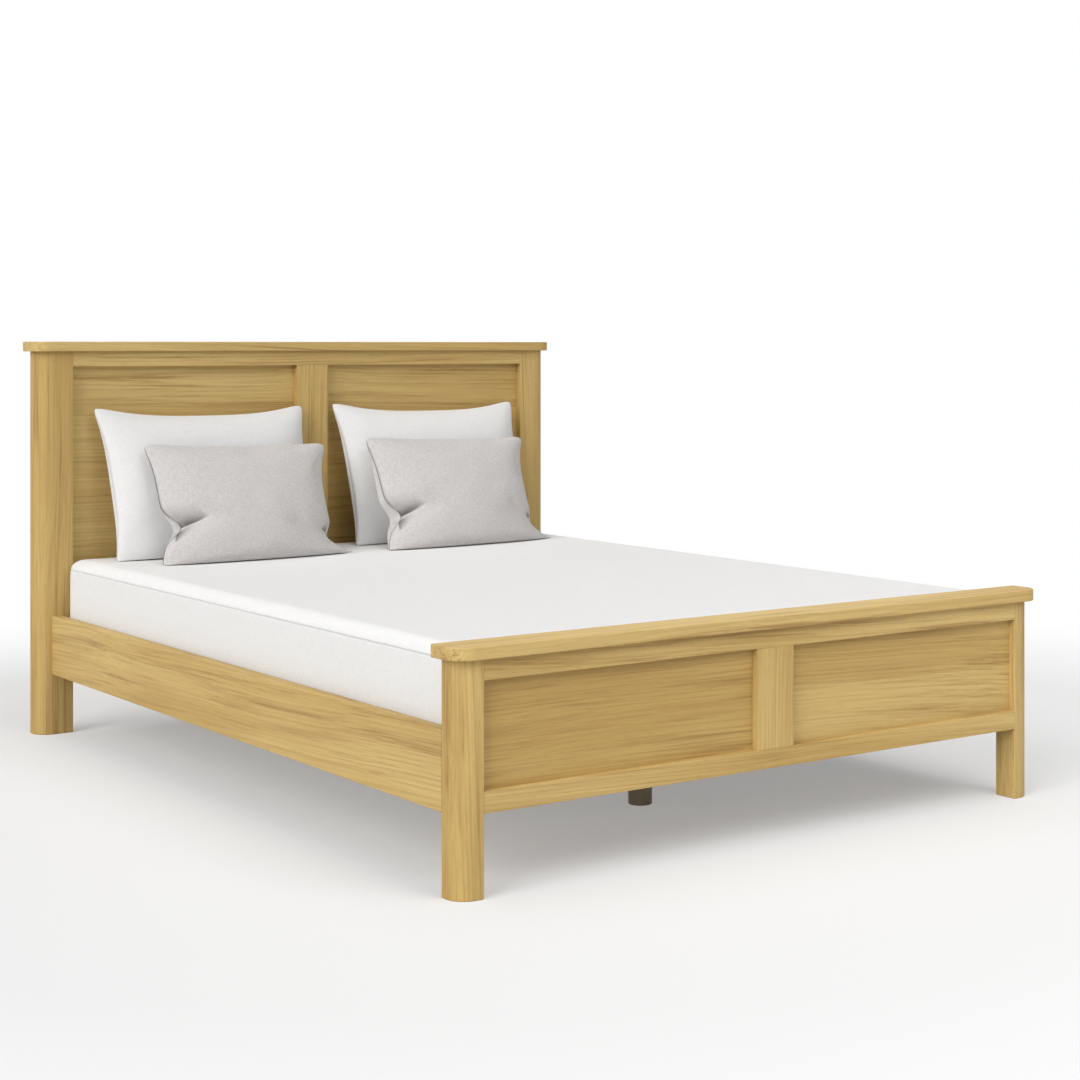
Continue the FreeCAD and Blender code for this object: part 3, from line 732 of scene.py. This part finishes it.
def timber_grain_group():
    """Growth lines, streaks, fibres and pores of a board whose grain runs along the third axis.

    The growth lines are shells about a far pith, so they cross a board almost straight. They bend
    a little, and fade in and out along the board.
    """
    tree, given, result = new_group(
        "timber_grain",
        {"Vector": "Vector", "Light": "Color", "Mid": "Color", "Dark": "Color",
         "Ring Spacing": "Float", "Streaks": "Float", "Pores": "Float"}, SURFACE)
    wander, waver = (
        times(tree, minus(tree, stretched_noise(tree, given["Vector"], rates, detail), 0.5), reach)
        for rates, detail, reach in GRAIN_BENDS)
    shift = plus(tree, wander, waver)
    shifted = add(tree, "CombineXYZ", {0: shift, 1: shift}).outputs[0]
    bent = vector_calc(tree, "ADD", given["Vector"], shifted)[0]
    from_pith = vector_calc(tree, "MULTIPLY", bent, (1.0, 1.0, 0.0))[0]
    turns = plus(tree, calc(tree, "DIVIDE", vector_calc(tree, "LENGTH", from_pith)["Value"],
                            given["Ring Spacing"]),
                 times(tree, stretched_noise(tree, bent, RING_NOISE), RING_WANDER))
    phase = calc(tree, "FRACT", turns)
    late = times(tree, between(tree, phase, *LATE_WOOD),
                 minus(tree, 1.0, between(tree, phase, LATE_WOOD[1], 1.0)))
    mask = {}
    for name, (across, along, detail, rough, low, high) in GRAIN_MASKS.items():
        noise = stretched_noise(tree, bent, (across, across, along), detail, rough)
        mask[name] = between(tree, noise, low, high)
    mask["fibre"] = stretched_noise(tree, bent, FIBRE_NOISE, 2.0, 0.6)
    mask["late"] = times(tree, times(tree, late, mask["kept"]), ramp(tree, 0.45, mask["fine"], 0.75))
    streak = times(tree, mask["streak"], ramp(tree, 0.30, mask["fine"], 0.70))
    pore = times(tree, mask["pore"], given["Pores"])
    shade = blend_colours(tree, mask["broad"], given["Light"], given["Mid"])
    for name, strength in GRAIN_SHADES.items():
        shade = blend_colours(tree, times(tree, mask[name], strength), shade, given["Dark"])
    for strength in (times(tree, streak, given["Streaks"]), pore):
        shade = blend_colours(tree, strength, shade, given["Dark"])
    relief = minus(tree, times(tree, mask["fibre"], 0.5), pore)
    tree.links.new(shade, result["Color"])
    tree.links.new(minus(tree, relief, times(tree, mask["late"], 0.25)), result["Height"])
    tree.links.new(ramp(tree, 0.54, mask["fibre"], 0.14), result["Roughness"])
    return tree


# Woven cloth: noise rates in cycles per metre, and how strongly each unevenness shows.
SLUB_NOISE = ((55.0, 300.0, 1.0), (300.0, 55.0, 1.0))
NAP_NOISE = (160.0, 160.0, 1.0)
THREAD_WOBBLE = 0.6
CROSSING = 0.15
GAP_WIDTH = 0.45
GAP_SHADE = 0.55
NAP_SHADE = 0.22


def woven_cloth_group():
    """Plain weave: crossing threads, uneven thread thickness and a soft nap."""
    tree, given, result = new_group(
        "woven_cloth",
        {"Vector": "Vector", "Thread": "Float", "Slub": "Float", "Base": "Color", "Deep": "Color"}, SURFACE)
    place = add(tree, "SeparateXYZ", {0: given["Vector"]}).outputs
    across, up = (stretched_noise(tree, given["Vector"], rates, 3.0, 0.6) for rates in SLUB_NOISE)
    wobble = times(tree, minus(tree, up, 0.5), THREAD_WOBBLE)
    turns = [plus(tree, calc(tree, "DIVIDE", place[axis], given["Thread"]), wobble) for axis in (0, 1)]
    warp, weft = (calc(tree, "SINE", times(tree, turn, math.pi)) for turn in turns)
    over = between(tree, times(tree, warp, weft), -CROSSING, CROSSING)
    threads = add(tree, "Mix", {0: over, 2: calc(tree, "ABSOLUTE", warp), 3: calc(tree, "ABSOLUTE", weft)},
                  data_type="FLOAT").outputs[0]
    slub = between(tree, times(tree, plus(tree, across, up), 0.5), 0.40, 0.60)
    nap = stretched_noise(tree, given["Vector"], NAP_NOISE, 4.0, 0.65)
    gap = minus(tree, 1.0, between(tree, threads, 0.0, GAP_WIDTH))
    tone = ramp(tree, times(tree, gap, GAP_SHADE), slub, given["Slub"])
    tone = ramp(tree, tone, between(tree, nap, 0.4, 0.7), NAP_SHADE)
    tree.links.new(blend_colours(tree, tone, given["Base"], given["Deep"]), result["Color"])
    tree.links.new(ramp(tree, ramp(tree, threads, slub, 0.5), nap, 0.4), result["Height"])
    tree.links.new(ramp(tree, 0.82, nap, 0.12), result["Roughness"])
    return tree


# Wear: noise rates of specks and scratches, in cycles per mark's size.
SPECK_NOISE = (1.0, 1.0, 1.0)
SCRATCH_NOISE = (9.0, 0.35, 0.35)


def fine_wear_group():
    """Small uneven marks: dust and faint scratches as masks, and a pebbled height."""
    tree, given, result = new_group("fine_wear", {"Vector": "Vector", "Size": "Float"},
                                    {"Dust": "Float", "Scratch": "Float", "Height": "Float"})
    rate = calc(tree, "DIVIDE", 1.0, given["Size"])
    scaled = add(tree, "VectorMath", {0: given["Vector"], "Scale": rate}, operation="SCALE").outputs[0]
    specks = stretched_noise(tree, scaled, SPECK_NOISE, 5.0, 0.6)
    tree.links.new(between(tree, specks, 0.48, 0.72), result["Dust"])
    tree.links.new(between(tree, stretched_noise(tree, scaled, SCRATCH_NOISE), 0.66, 0.74), result["Scratch"])
    tree.links.new(specks, result["Height"])
    return tree


GROUP_MAKERS = {
    "timber_grain": timber_grain_group,
    "woven_cloth": woven_cloth_group,
    "fine_wear": fine_wear_group,
}


def place_group(tree, name, inputs):
    """Puts a shared node group into a material, and builds the group the first time."""
    group = bpy.data.node_groups.get(name) or GROUP_MAKERS[name]()
    return add(tree, "Group", inputs, node_tree=group).outputs


def new_material(name):
    """An empty material with its output node."""
    material = bpy.data.materials.new(name)
    material.use_nodes = True
    tree = material.node_tree
    tree.nodes.clear()
    return material, tree, add(tree, "OutputMaterial")


def finish_surface(tree, output, shade, roughness, height, relief, constants):
    """Joins colour, roughness and relief to a Principled shader with the given constant values."""
    bump = add(tree, "Bump", {"Strength": 1.0, "Distance": relief, "Height": height}).outputs[0]
    shader = add(tree, "BsdfPrincipled", {"Base Color": shade, "Roughness": roughness, "Normal": bump,
                                          **constants})
    tree.links.new(shader.outputs[0], output.inputs["Surface"])


def put_on(node_names, material):
    """Gives a material to CAD pieces."""
    for name in node_names:
        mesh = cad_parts[name].data
        mesh.materials.clear()
        mesh.materials.append(material)


# Where a board is cut from its tree: ranges of the pith's place beside and behind it, in metres, its
# start along the trunk, its ring spacing against the mean, and its tilt to the pith in degrees.
PITH_BESIDE = (-0.12, 0.12)
PITH_BEHIND = (0.25, 0.50)
TRUNK_START = (1.0, 9.0)
RING_CHANGE = (0.85, 1.25)
BOARD_TILT = (2.8, 0.5)
WOOD_RELIEF = 0.00025
WOOD_OIL = {"IOR": 1.45, "Specular IOR Level": 0.4, "Coat Weight": 0.04, "Coat Roughness": 0.5}


def board_material(node_name, along, colours, streaks, pores, seed):
    """Timber for one board: its own place in the tree, with the grain along its length."""
    spacing = bpy.context.scene.bed_wood.ring_spacing
    draw = np.random.default_rng(seed)
    material, tree, output = new_material(f"{node_name}_timber")
    place = add(tree, "TexCoord").outputs["Object"]
    apart = add(tree, "SeparateXYZ", {0: place}).outputs
    order = {"X": (1, 2, 0), "Y": (0, 2, 1), "Z": (1, 0, 2)}[along]
    turned = add(tree, "CombineXYZ", {i: apart[axis] for i, axis in enumerate(order)}).outputs[0]
    middle = np.mean(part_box(node_name), axis=0)[list(order)]
    pith = middle + np.array([draw.uniform(*PITH_BESIDE), draw.uniform(*PITH_BEHIND), 0.0])
    tilt = np.radians(draw.uniform(-1, 1, 2) * BOARD_TILT)
    moved = vector_calc(tree, "SUBTRACT", turned, tuple(pith))[0]
    mapped = add(tree, "Mapping", {"Vector": moved, "Location": (0.0, 0.0, draw.uniform(*TRUNK_START)),
                                   "Rotation": (*tilt, 0.0)}).outputs[0]
    grain = place_group(tree, "timber_grain", {
        "Vector": mapped, "Light": rgba(colours[0]), "Mid": rgba(colours[1]), "Dark": rgba(colours[2]),
        "Ring Spacing": spacing * draw.uniform(*RING_CHANGE), "Streaks": streaks, "Pores": pores})
    finish_surface(tree, output, grain["Color"], grain["Roughness"], grain["Height"], WOOD_RELIEF, WOOD_OIL)
    return material


def oak_boards():
    """Grain direction of every oak board by its node name."""
    boards = {}
    for end in ("headboard", "footboard"):
        boards[f"{end}_post_left"] = "Z"
        boards[f"{end}_post_right"] = "Z"
        boards[f"{end}_centre_stile"] = "Z"
        for part in ("top_rail", "bottom_rail", "cap", "panel_left", "panel_right"):
            boards[f"{end}_{part}"] = "X"
    boards["side_rail_left"] = "Y"
    boards["side_rail_right"] = "Y"
    return boards


def base_boards():
    """Grain direction of every board of the slatted base."""
    boards = {name: "X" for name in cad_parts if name.startswith("slat_") and name[5:].isdigit()}
    boards.update({"slat_ledger_left": "Y", "slat_ledger_right": "Y", "centre_beam": "Y"})
    return boards


BRUSH_NOISE = (90.0, 90.0, 2600.0)
STEEL_DUST = (0.42, 0.41, 0.39, 1.0)
STEEL_MARK = 0.004
STEEL_RELIEF = 0.00004


def steel_material(name, base, roughness):
    """Zinc-plated steel with a fine brushed grain, dull dust and small scratches."""
    material, tree, output = new_material(name)
    place = add(tree, "TexCoord").outputs["Object"]
    brushed = stretched_noise(tree, place, BRUSH_NOISE)
    wear = place_group(tree, "fine_wear", {"Vector": place, "Size": STEEL_MARK})
    shade = blend_colours(tree, times(tree, wear["Dust"], 0.35), rgba(base), STEEL_DUST)
    finish_surface(tree, output, shade, ramp(tree, roughness, brushed, 0.2),
                   minus(tree, brushed, wear["Scratch"]), STEEL_RELIEF, {"Metallic": 0.9})
    return material


LEG_PLASTIC = (0.44, 0.37, 0.28, 1.0)
LEG_DUST = (0.54, 0.47, 0.37, 1.0)
LEG_MARK = 0.0016
LEG_RELIEF = 0.00012


def leg_material():
    """Grey-brown moulded plastic with a fine pebbled skin and a little dust."""
    material, tree, output = new_material("leg_plastic")
    place = add(tree, "TexCoord").outputs["Object"]
    wear = place_group(tree, "fine_wear", {"Vector": place, "Size": LEG_MARK})
    shade = blend_colours(tree, times(tree, wear["Dust"], 0.5), LEG_PLASTIC, LEG_DUST)
    finish_surface(tree, output, shade, ramp(tree, 0.48, wear["Dust"], 0.2), wear["Height"], LEG_RELIEF,
                   {"IOR": 1.5})
    return material


# Painted shade in seams, creases and grooves draws the colour towards this share of it.
PAINTED_SHADE_COLOUR_SHARE = 0.25
CLOTH_SHEEN = {"Sheen Weight": 0.1, "Sheen Roughness": 0.5, "Specular IOR Level": 0.25}


def cloth_material(name, colour_setting, thread, deep, slub, relief, painted_shade):
    """Woven cloth on the piece's own cloth coordinates, in metres, with painted shade darkening it in its
    seams and creases.

    deep is the share of the colour that stays in the gaps between threads and in slubs, and the last argument
    says how strongly the painted shade map shows.
    """
    base = np.array(colour_setting)
    material, tree, output = new_material(name)
    place = add(tree, "UVMap", uv_map=CLOTH_MAP).outputs[0]
    weave = place_group(tree, "woven_cloth", {
        "Vector": place, "Thread": thread, "Slub": slub, "Base": rgba(base), "Deep": rgba(base * deep)})
    # Painted shade: the map darkens seams, creases and grooves where their shadow would fall.
    seam = add(tree, "Attribute", attribute_name=PAINTED_SHADE_MAP).outputs["Fac"]
    shade = blend_colours(tree, times(tree, between(tree, seam, 0.05, 0.95), painted_shade),
                          weave["Color"], rgba(base * PAINTED_SHADE_COLOUR_SHARE))
    finish_surface(tree, output, shade, weave["Roughness"], weave["Height"], relief, CLOTH_SHEEN)
    return material


# --- operators ---
OAK_SEED = 11
BASE_SEED = 101
DOWEL_SEED = 201


class BED_OT_oak_frame(bpy.types.Operator):
    """Gives every oak board of the headboard, footboard and side rails its own grain."""
    bl_idname = "bed.oak_frame"
    bl_label = "Oak frame"

    def execute(self, context):
        wood = context.scene.bed_wood
        colours = (wood.oak_light, wood.oak_mid, wood.oak_dark)
        for seed, (name, along) in enumerate(oak_boards().items(), start=OAK_SEED):
            put_on([name], board_material(name, along, colours, wood.streaks, pores=0.35, seed=seed))
        return {"FINISHED"}


class BED_OT_slatted_base(bpy.types.Operator):
    """Gives the slats, ledgers and centre beam their pine finish, and the dowels their own."""
    bl_idname = "bed.slatted_base"
    bl_label = "Slatted base"

    def execute(self, context):
        wood = context.scene.bed_wood
        colours = (wood.pine_light, wood.pine_mid, wood.pine_dark)
        for seed, (name, along) in enumerate(base_boards().items(), start=BASE_SEED):
            put_on([name], board_material(name, along, colours, streaks=0.25, pores=0.1, seed=seed))
        for seed, name in enumerate(("headboard_dowels", "footboard_dowels"), start=DOWEL_SEED):
            put_on([name], board_material(name, "X", colours, streaks=0.2, pores=0.2, seed=seed))
        return {"FINISHED"}


class BED_OT_metalwork(bpy.types.Operator):
    """Finishes the brackets, hangers, bolts, inserts, screws and studs in plated steel."""
    bl_idname = "bed.metalwork"
    bl_label = "Metalwork"

    def execute(self, context):
        plates = [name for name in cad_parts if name.startswith(("corner_bracket", "beam_hanger"))]
        fasteners = ["bracket_bolts", "bracket_inserts", "wood_screws", "leg_inserts"]
        fasteners += [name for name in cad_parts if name.startswith("leg_stud")]
        put_on(plates, steel_material("bracket_steel", (0.56, 0.57, 0.58), roughness=0.36))
        put_on(fasteners, steel_material("fastener_steel", (0.62, 0.60, 0.55), roughness=0.30))
        return {"FINISHED"}


class BED_OT_centre_legs(bpy.types.Operator):
    """Finishes the centre legs in grey-brown moulded plastic."""
    bl_idname = "bed.centre_legs"
    bl_label = "Centre legs"

    def execute(self, context):
        put_on([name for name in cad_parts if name.startswith("centre_leg")], leg_material())
        return {"FINISHED"}


class BED_OT_mattress(bpy.types.Operator):
    """Makes the mattress: sewn border, round shoulders and a knitted cover."""
    bl_idname = "bed.mattress"
    bl_label = "Mattress"

    def execute(self, context):
        fabric = context.scene.bed_fabric
        points, quads, cloth_corners = mattress_mesh()
        piece = new_piece("mattress_cover", points, quads, cloth_corners, "mattress")
        # Painted shade in the mattress's sewn grooves.
        add_painted_shade_map(piece, mattress_painted_groove_shade(points[:, 2]))
        material = cloth_material("mattress_knit", fabric.mattress_cover, MATTRESS_THREAD, deep=0.91,
                                  slub=0.45, relief=0.0005, painted_shade=0.2)
        finish_soft(piece, "mattress", material)
        return {"FINISHED"}


def behind_cushion(z):
    """How far back a cushion reaches at a height."""
    return contact_plane(z) - REST_GAP


def headboard_face(z):
    """How far back a pillow reaches at a height."""
    return np.full_like(z, PANEL_FACE - REST_GAP)


def make_pair(kind, forms, limits, swelling, material):
    """Makes the left and the right piece of one kind."""
    for side, form in forms.items():
        node = f"{kind}_{side}"
        piece = make_pillow(f"{node}_cover", form, node, limits, swelling)
        finish_soft(piece, node, material)


WHITE_SHAPE = {
    "front_bulge": 0.076, "back_bulge": 0.095, "side_pull": (0.026, 0.024), "side_skew": (0.0, 0.0),
    "notch": (0.0, 0.0), "notch_share": (0.3, 0.3), "top_pull": 0.033, "bottom_bow": 0.0,
    "back_spread": 0.0, "back_straight": (0.5, 0.5), "back_fullness": 0.6, "folds": (),
}
PILLOW_FORMS = {
    "left": PillowForm(
        bottom_left=(-0.680, 0.150, -0.014), bottom_right=(-0.042, 0.150, -0.014),
        top_left=(-0.694, 0.013, 0.421), top_right=(-0.039, 0.013, 0.418), seed=31, **WHITE_SHAPE),
    "right": PillowForm(
        bottom_left=(0.066, 0.138, -0.014), bottom_right=(0.700, 0.138, -0.014),
        top_left=(0.049, 0.013, 0.422), top_right=(0.699, 0.013, 0.418), seed=32, **WHITE_SHAPE),
}
PILLOW_SWELLING = {"pressure": 2.5, "growth": 0.003, "passes": 30}


class BED_OT_pillows(bpy.types.Operator):
    """Makes the two white cotton pillows that lean on the headboard."""
    bl_idname = "bed.pillows"
    bl_label = "Pillows"

    def execute(self, context):
        fabric = context.scene.bed_fabric
        # Light painted shade along the pillows' seams.
        material = cloth_material("pillow_cotton", fabric.pillow_cotton, fabric.cotton_thread, deep=0.90,
                                  slub=0.40, relief=0.0003, painted_shade=0.3)
        make_pair("pillow", PILLOW_FORMS, (contact_plane, headboard_face), PILLOW_SWELLING,
                  material)
        return {"FINISHED"}


GREY_SHAPE = {"front_bulge": 0.066, "back_bulge": 0.056, "top_pull": 0.009, "bottom_bow": 0.025}
CUSHION_FORMS = {
    "left": PillowForm(
        bottom_left=(-0.621, 0.320, -0.010), bottom_right=(-0.020, 0.302, -0.010),
        top_left=(-0.600, 0.140, 0.319), top_right=(-0.034, 0.140, 0.307),
        side_pull=(0.024, 0.053), side_skew=(0.0, 0.35), notch=(0.052, 0.035), notch_share=(0.31, 0.16),
        back_spread=0.034, back_straight=(0.5, 0.5), back_fullness=0.9, seed=41, **GREY_SHAPE,
        folds=(Fold(-1, (-0.004, 0.115), (0.072, 0.130), 0.044, 0.013, 0.0040),
               Fold(-1, (0.000, 0.098), (0.020, 0.066), 0.014, 0.006, 0.0035),
               Fold(1, (0.000, 0.074), (0.026, 0.082), 0.018, 0.006, 0.0035))),
    "right": PillowForm(
        bottom_left=(0.073, 0.318, -0.010), bottom_right=(0.681, 0.280, -0.010),
        top_left=(0.094, 0.140, 0.320), top_right=(0.654, 0.140, 0.308),
        side_pull=(0.024, 0.055), side_skew=(0.2, 0.3), notch=(0.046, 0.026), notch_share=(0.30, 0.15),
        back_spread=0.030, back_straight=(1.2, 0.5), back_fullness=0.45, seed=42, **GREY_SHAPE,
        folds=(Fold(-1, (-0.004, 0.110), (0.076, 0.132), 0.044, 0.013, 0.0040),
               Fold(-1, (0.000, 0.094), (0.022, 0.060), 0.014, 0.006, 0.0035),
               Fold(1, (0.012, 0.076), (0.030, 0.088), 0.010, 0.006, 0.0035))),
}
CUSHION_SWELLING = {"pressure": 2.0, "growth": 0.006, "passes": 5}


class BED_OT_cushions(bpy.types.Operator):
    """Makes the two grey linen cushions that lean on the pillows."""
    bl_idname = "bed.cushions"
    bl_label = "Cushions"

    def execute(self, context):
        fabric = context.scene.bed_fabric
        # Strong painted shade in the cushions' creases and seams.
        material = cloth_material("cushion_linen", fabric.cushion_linen, fabric.linen_thread, deep=0.74,
                                  slub=0.48, relief=0.0005, painted_shade=0.9)
        make_pair("cushion", CUSHION_FORMS, (None, behind_cushion), CUSHION_SWELLING,
                  material)
        return {"FINISHED"}


# --- stage: floor, light and camera ---
# Camera fitted to the picture: its place in metres, and its focal length, the column of its centre
# and the row of its horizon in pixels of the 1080 x 1080 frame.
CAMERA_PLACE = (-2.8614, -4.4135, 1.0706)
CAMERA_TURN = math.radians(-36.13)
PICTURE_PIXELS = 1080
FOCAL_PIXELS = 2041.06
CENTRE_COLUMN = 613.30
HORIZON_ROW = 345.01
SENSOR = 36.0
FLOOR_HALF = 30.0
# The floor turns white between these distances, and is this white already under the bed.
FLOOR_FADE = (1.2, 3.4)
FLOOR_WHITENESS = 0.30
FLOOR_NOISE = (40.0, 40.0, 40.0)
FLOOR_MOTTLE = 0.06
FLOOR_GREY = (0.72, 0.72, 0.72, 1.0)
# Directions that light comes from, and how wide the disc of each is in degrees.
KEY_FROM = (-0.85, -0.28, 0.45)
KEY_SPREAD = 40.0
TOP_FROM = (-0.10, -0.15, 1.0)
TOP_SPREAD = 90.0
# The light in front of the bed: its place, the point that it faces and its side, in metres.
FRONT_PLACE = (0.5, -4.5, 4.0)
FRONT_TARGET = (0.0, -0.6, 0.3)
FRONT_SIZE = 3.0


def seen_directly(tree):
    """1 for rays from the camera, from a glossy surface or through a clear one, otherwise 0."""
    path = add(tree, "LightPath").outputs
    glossy = calc(tree, "MAXIMUM", path["Is Glossy Ray"], path["Is Transmission Ray"])
    return calc(tree, "MAXIMUM", path["Is Camera Ray"], glossy)


def mix_onto(tree, output, factor, first, second):
    """Mixes two shaders onto an output."""
    mixed = add(tree, "MixShader", {0: factor, 1: first.outputs[0], 2: second.outputs[0]})
    tree.links.new(mixed.outputs[0], output.inputs["Surface"])


def make_floor(settings):
    """A pale floor that keeps the bed's shadow, lighter than it falls, and turns white with distance."""
    material, tree, output = new_material("floor")
    place = add(tree, "TexCoord").outputs["Object"]
    away = vector_calc(tree, "LENGTH", place)["Value"]
    whiteness = calc(tree, "MAXIMUM", between(tree, away, *FLOOR_FADE), FLOOR_WHITENESS)
    mottle = times(tree, stretched_noise(tree, place, FLOOR_NOISE, 3.0), FLOOR_MOTTLE)
    matt = add(tree, "BsdfDiffuse", {
        "Color": blend_colours(tree, mottle, rgba(settings.floor_colour), FLOOR_GREY)})
    white = add(tree, "Emission", {"Color": WHITE, "Strength": 1.0})
    mix_onto(tree, output, times(tree, whiteness, seen_directly(tree)), matt, white)
    corners = np.array([[-1, -1, 0], [1, -1, 0], [1, 1, 0], [-1, 1, 0]]) * FLOOR_HALF
    mesh = bpy.data.meshes.new("floor")
    mesh.from_pydata(corners.tolist(), [], [(0, 1, 2, 3)])
    floor = bpy.data.objects.new("floor", mesh)
    mesh.materials.append(material)
    bpy.context.scene.collection.objects.link(floor)


def make_room(settings):
    """Even white light from all round; the camera sees plain white."""
    world = bpy.data.worlds.new("room")
    world.use_nodes = True
    tree = world.node_tree
    tree.nodes.clear()
    light = add(tree, "Background", {"Color": WHITE, "Strength": settings.room_light})
    seen = add(tree, "Background", {"Color": WHITE, "Strength": 1.0})
    mix_onto(tree, add(tree, "OutputWorld"), seen_directly(tree), light, seen)
    bpy.context.scene.world = world


def place_light(name, lamp, towards):
    """Adds a light that shines from the given direction."""
    light = bpy.data.objects.new(name, lamp)
    light.rotation_euler = (math.atan2(math.hypot(towards[0], towards[1]), towards[2]), 0.0,
                            math.atan2(towards[0], -towards[1]))
    bpy.context.scene.collection.objects.link(light)
    return light


def make_front_light(settings):
    """A square soft light above and before the foot of the bed."""
    lamp = bpy.data.lights.new("front", "AREA")
    lamp.shape = "SQUARE"
    lamp.size = FRONT_SIZE
    lamp.energy = settings.front_light
    towards = np.array(FRONT_PLACE) - np.array(FRONT_TARGET)
    place_light("front", lamp, towards).location = FRONT_PLACE


def make_light(name, towards, spread, strength):
    """Even light from far away: it comes from a disc of directions about the given one."""
    lamp = bpy.data.lights.new(name, "SUN")
    lamp.angle = math.radians(spread)
    lamp.energy = strength
    return place_light(name, lamp, towards)


def make_camera():
    """The camera of the picture, level, with its frame shifted to the bed."""
    lens = bpy.data.cameras.new("camera")
    lens.sensor_width = SENSOR
    lens.lens = FOCAL_PIXELS / PICTURE_PIXELS * SENSOR
    lens.shift_x = (PICTURE_PIXELS / 2 - CENTRE_COLUMN) / PICTURE_PIXELS
    lens.shift_y = (HORIZON_ROW - PICTURE_PIXELS / 2) / PICTURE_PIXELS
    camera = bpy.data.objects.new("camera", lens)
    camera.location = CAMERA_PLACE
    camera.rotation_euler = (math.pi / 2, 0.0, CAMERA_TURN)
    bpy.context.scene.collection.objects.link(camera)
    bpy.context.scene.camera = camera


class BED_OT_stage(bpy.types.Operator):
    """Sets the pale floor, the soft light and the camera."""
    bl_idname = "bed.stage"
    bl_label = "Stage"

    def execute(self, context):
        settings = context.scene.bed_stage
        make_floor(settings)
        make_room(settings)
        make_light("key", KEY_FROM, KEY_SPREAD, settings.key_light)
        make_light("top", TOP_FROM, TOP_SPREAD, settings.top_light)
        make_front_light(settings)
        make_camera()
        context.scene.view_settings.view_transform = "Standard"
        return {"FINISHED"}


OPERATORS = (BED_OT_oak_frame, BED_OT_slatted_base, BED_OT_metalwork, BED_OT_centre_legs,
             BED_OT_mattress, BED_OT_pillows, BED_OT_cushions, BED_OT_stage)


class BED_PT_panel(bpy.types.Panel):
    """Steps and settings of the bed in the sidebar."""
    bl_idname = "BED_PT_panel"
    bl_label = "Oak panel bed"
    bl_space_type = "VIEW_3D"
    bl_region_type = "UI"
    bl_category = "Bed"

    def draw(self, context):
        for operator in OPERATORS:
            self.layout.operator(operator.bl_idname)
        for settings in (context.scene.bed_wood, context.scene.bed_fabric, context.scene.bed_stage):
            box = self.layout.box()
            for name in settings.__annotations__:
                box.prop(settings, name)


CLASSES = (WoodSettings, FabricSettings, StageSettings) + OPERATORS + (BED_PT_panel,)
SETTINGS = {"bed_wood": WoodSettings, "bed_fabric": FabricSettings, "bed_stage": StageSettings}


def register():
    """Makes the classes and settings known."""
    for cls in CLASSES:
        bpy.utils.register_class(cls)
    for name, cls in SETTINGS.items():
        setattr(bpy.types.Scene, name, PointerProperty(type=cls))


def unregister():
    """Takes the classes and settings away."""
    for name in SETTINGS:
        delattr(bpy.types.Scene, name)
    for cls in reversed(CLASSES):
        bpy.utils.unregister_class(cls)


def main():
    """Builds everything in order."""
    register()
    for operator in OPERATORS:
        name = operator.bl_idname.split(".")[1]
        getattr(bpy.ops.bed, name)()


if __name__ == "__main__":
    main()
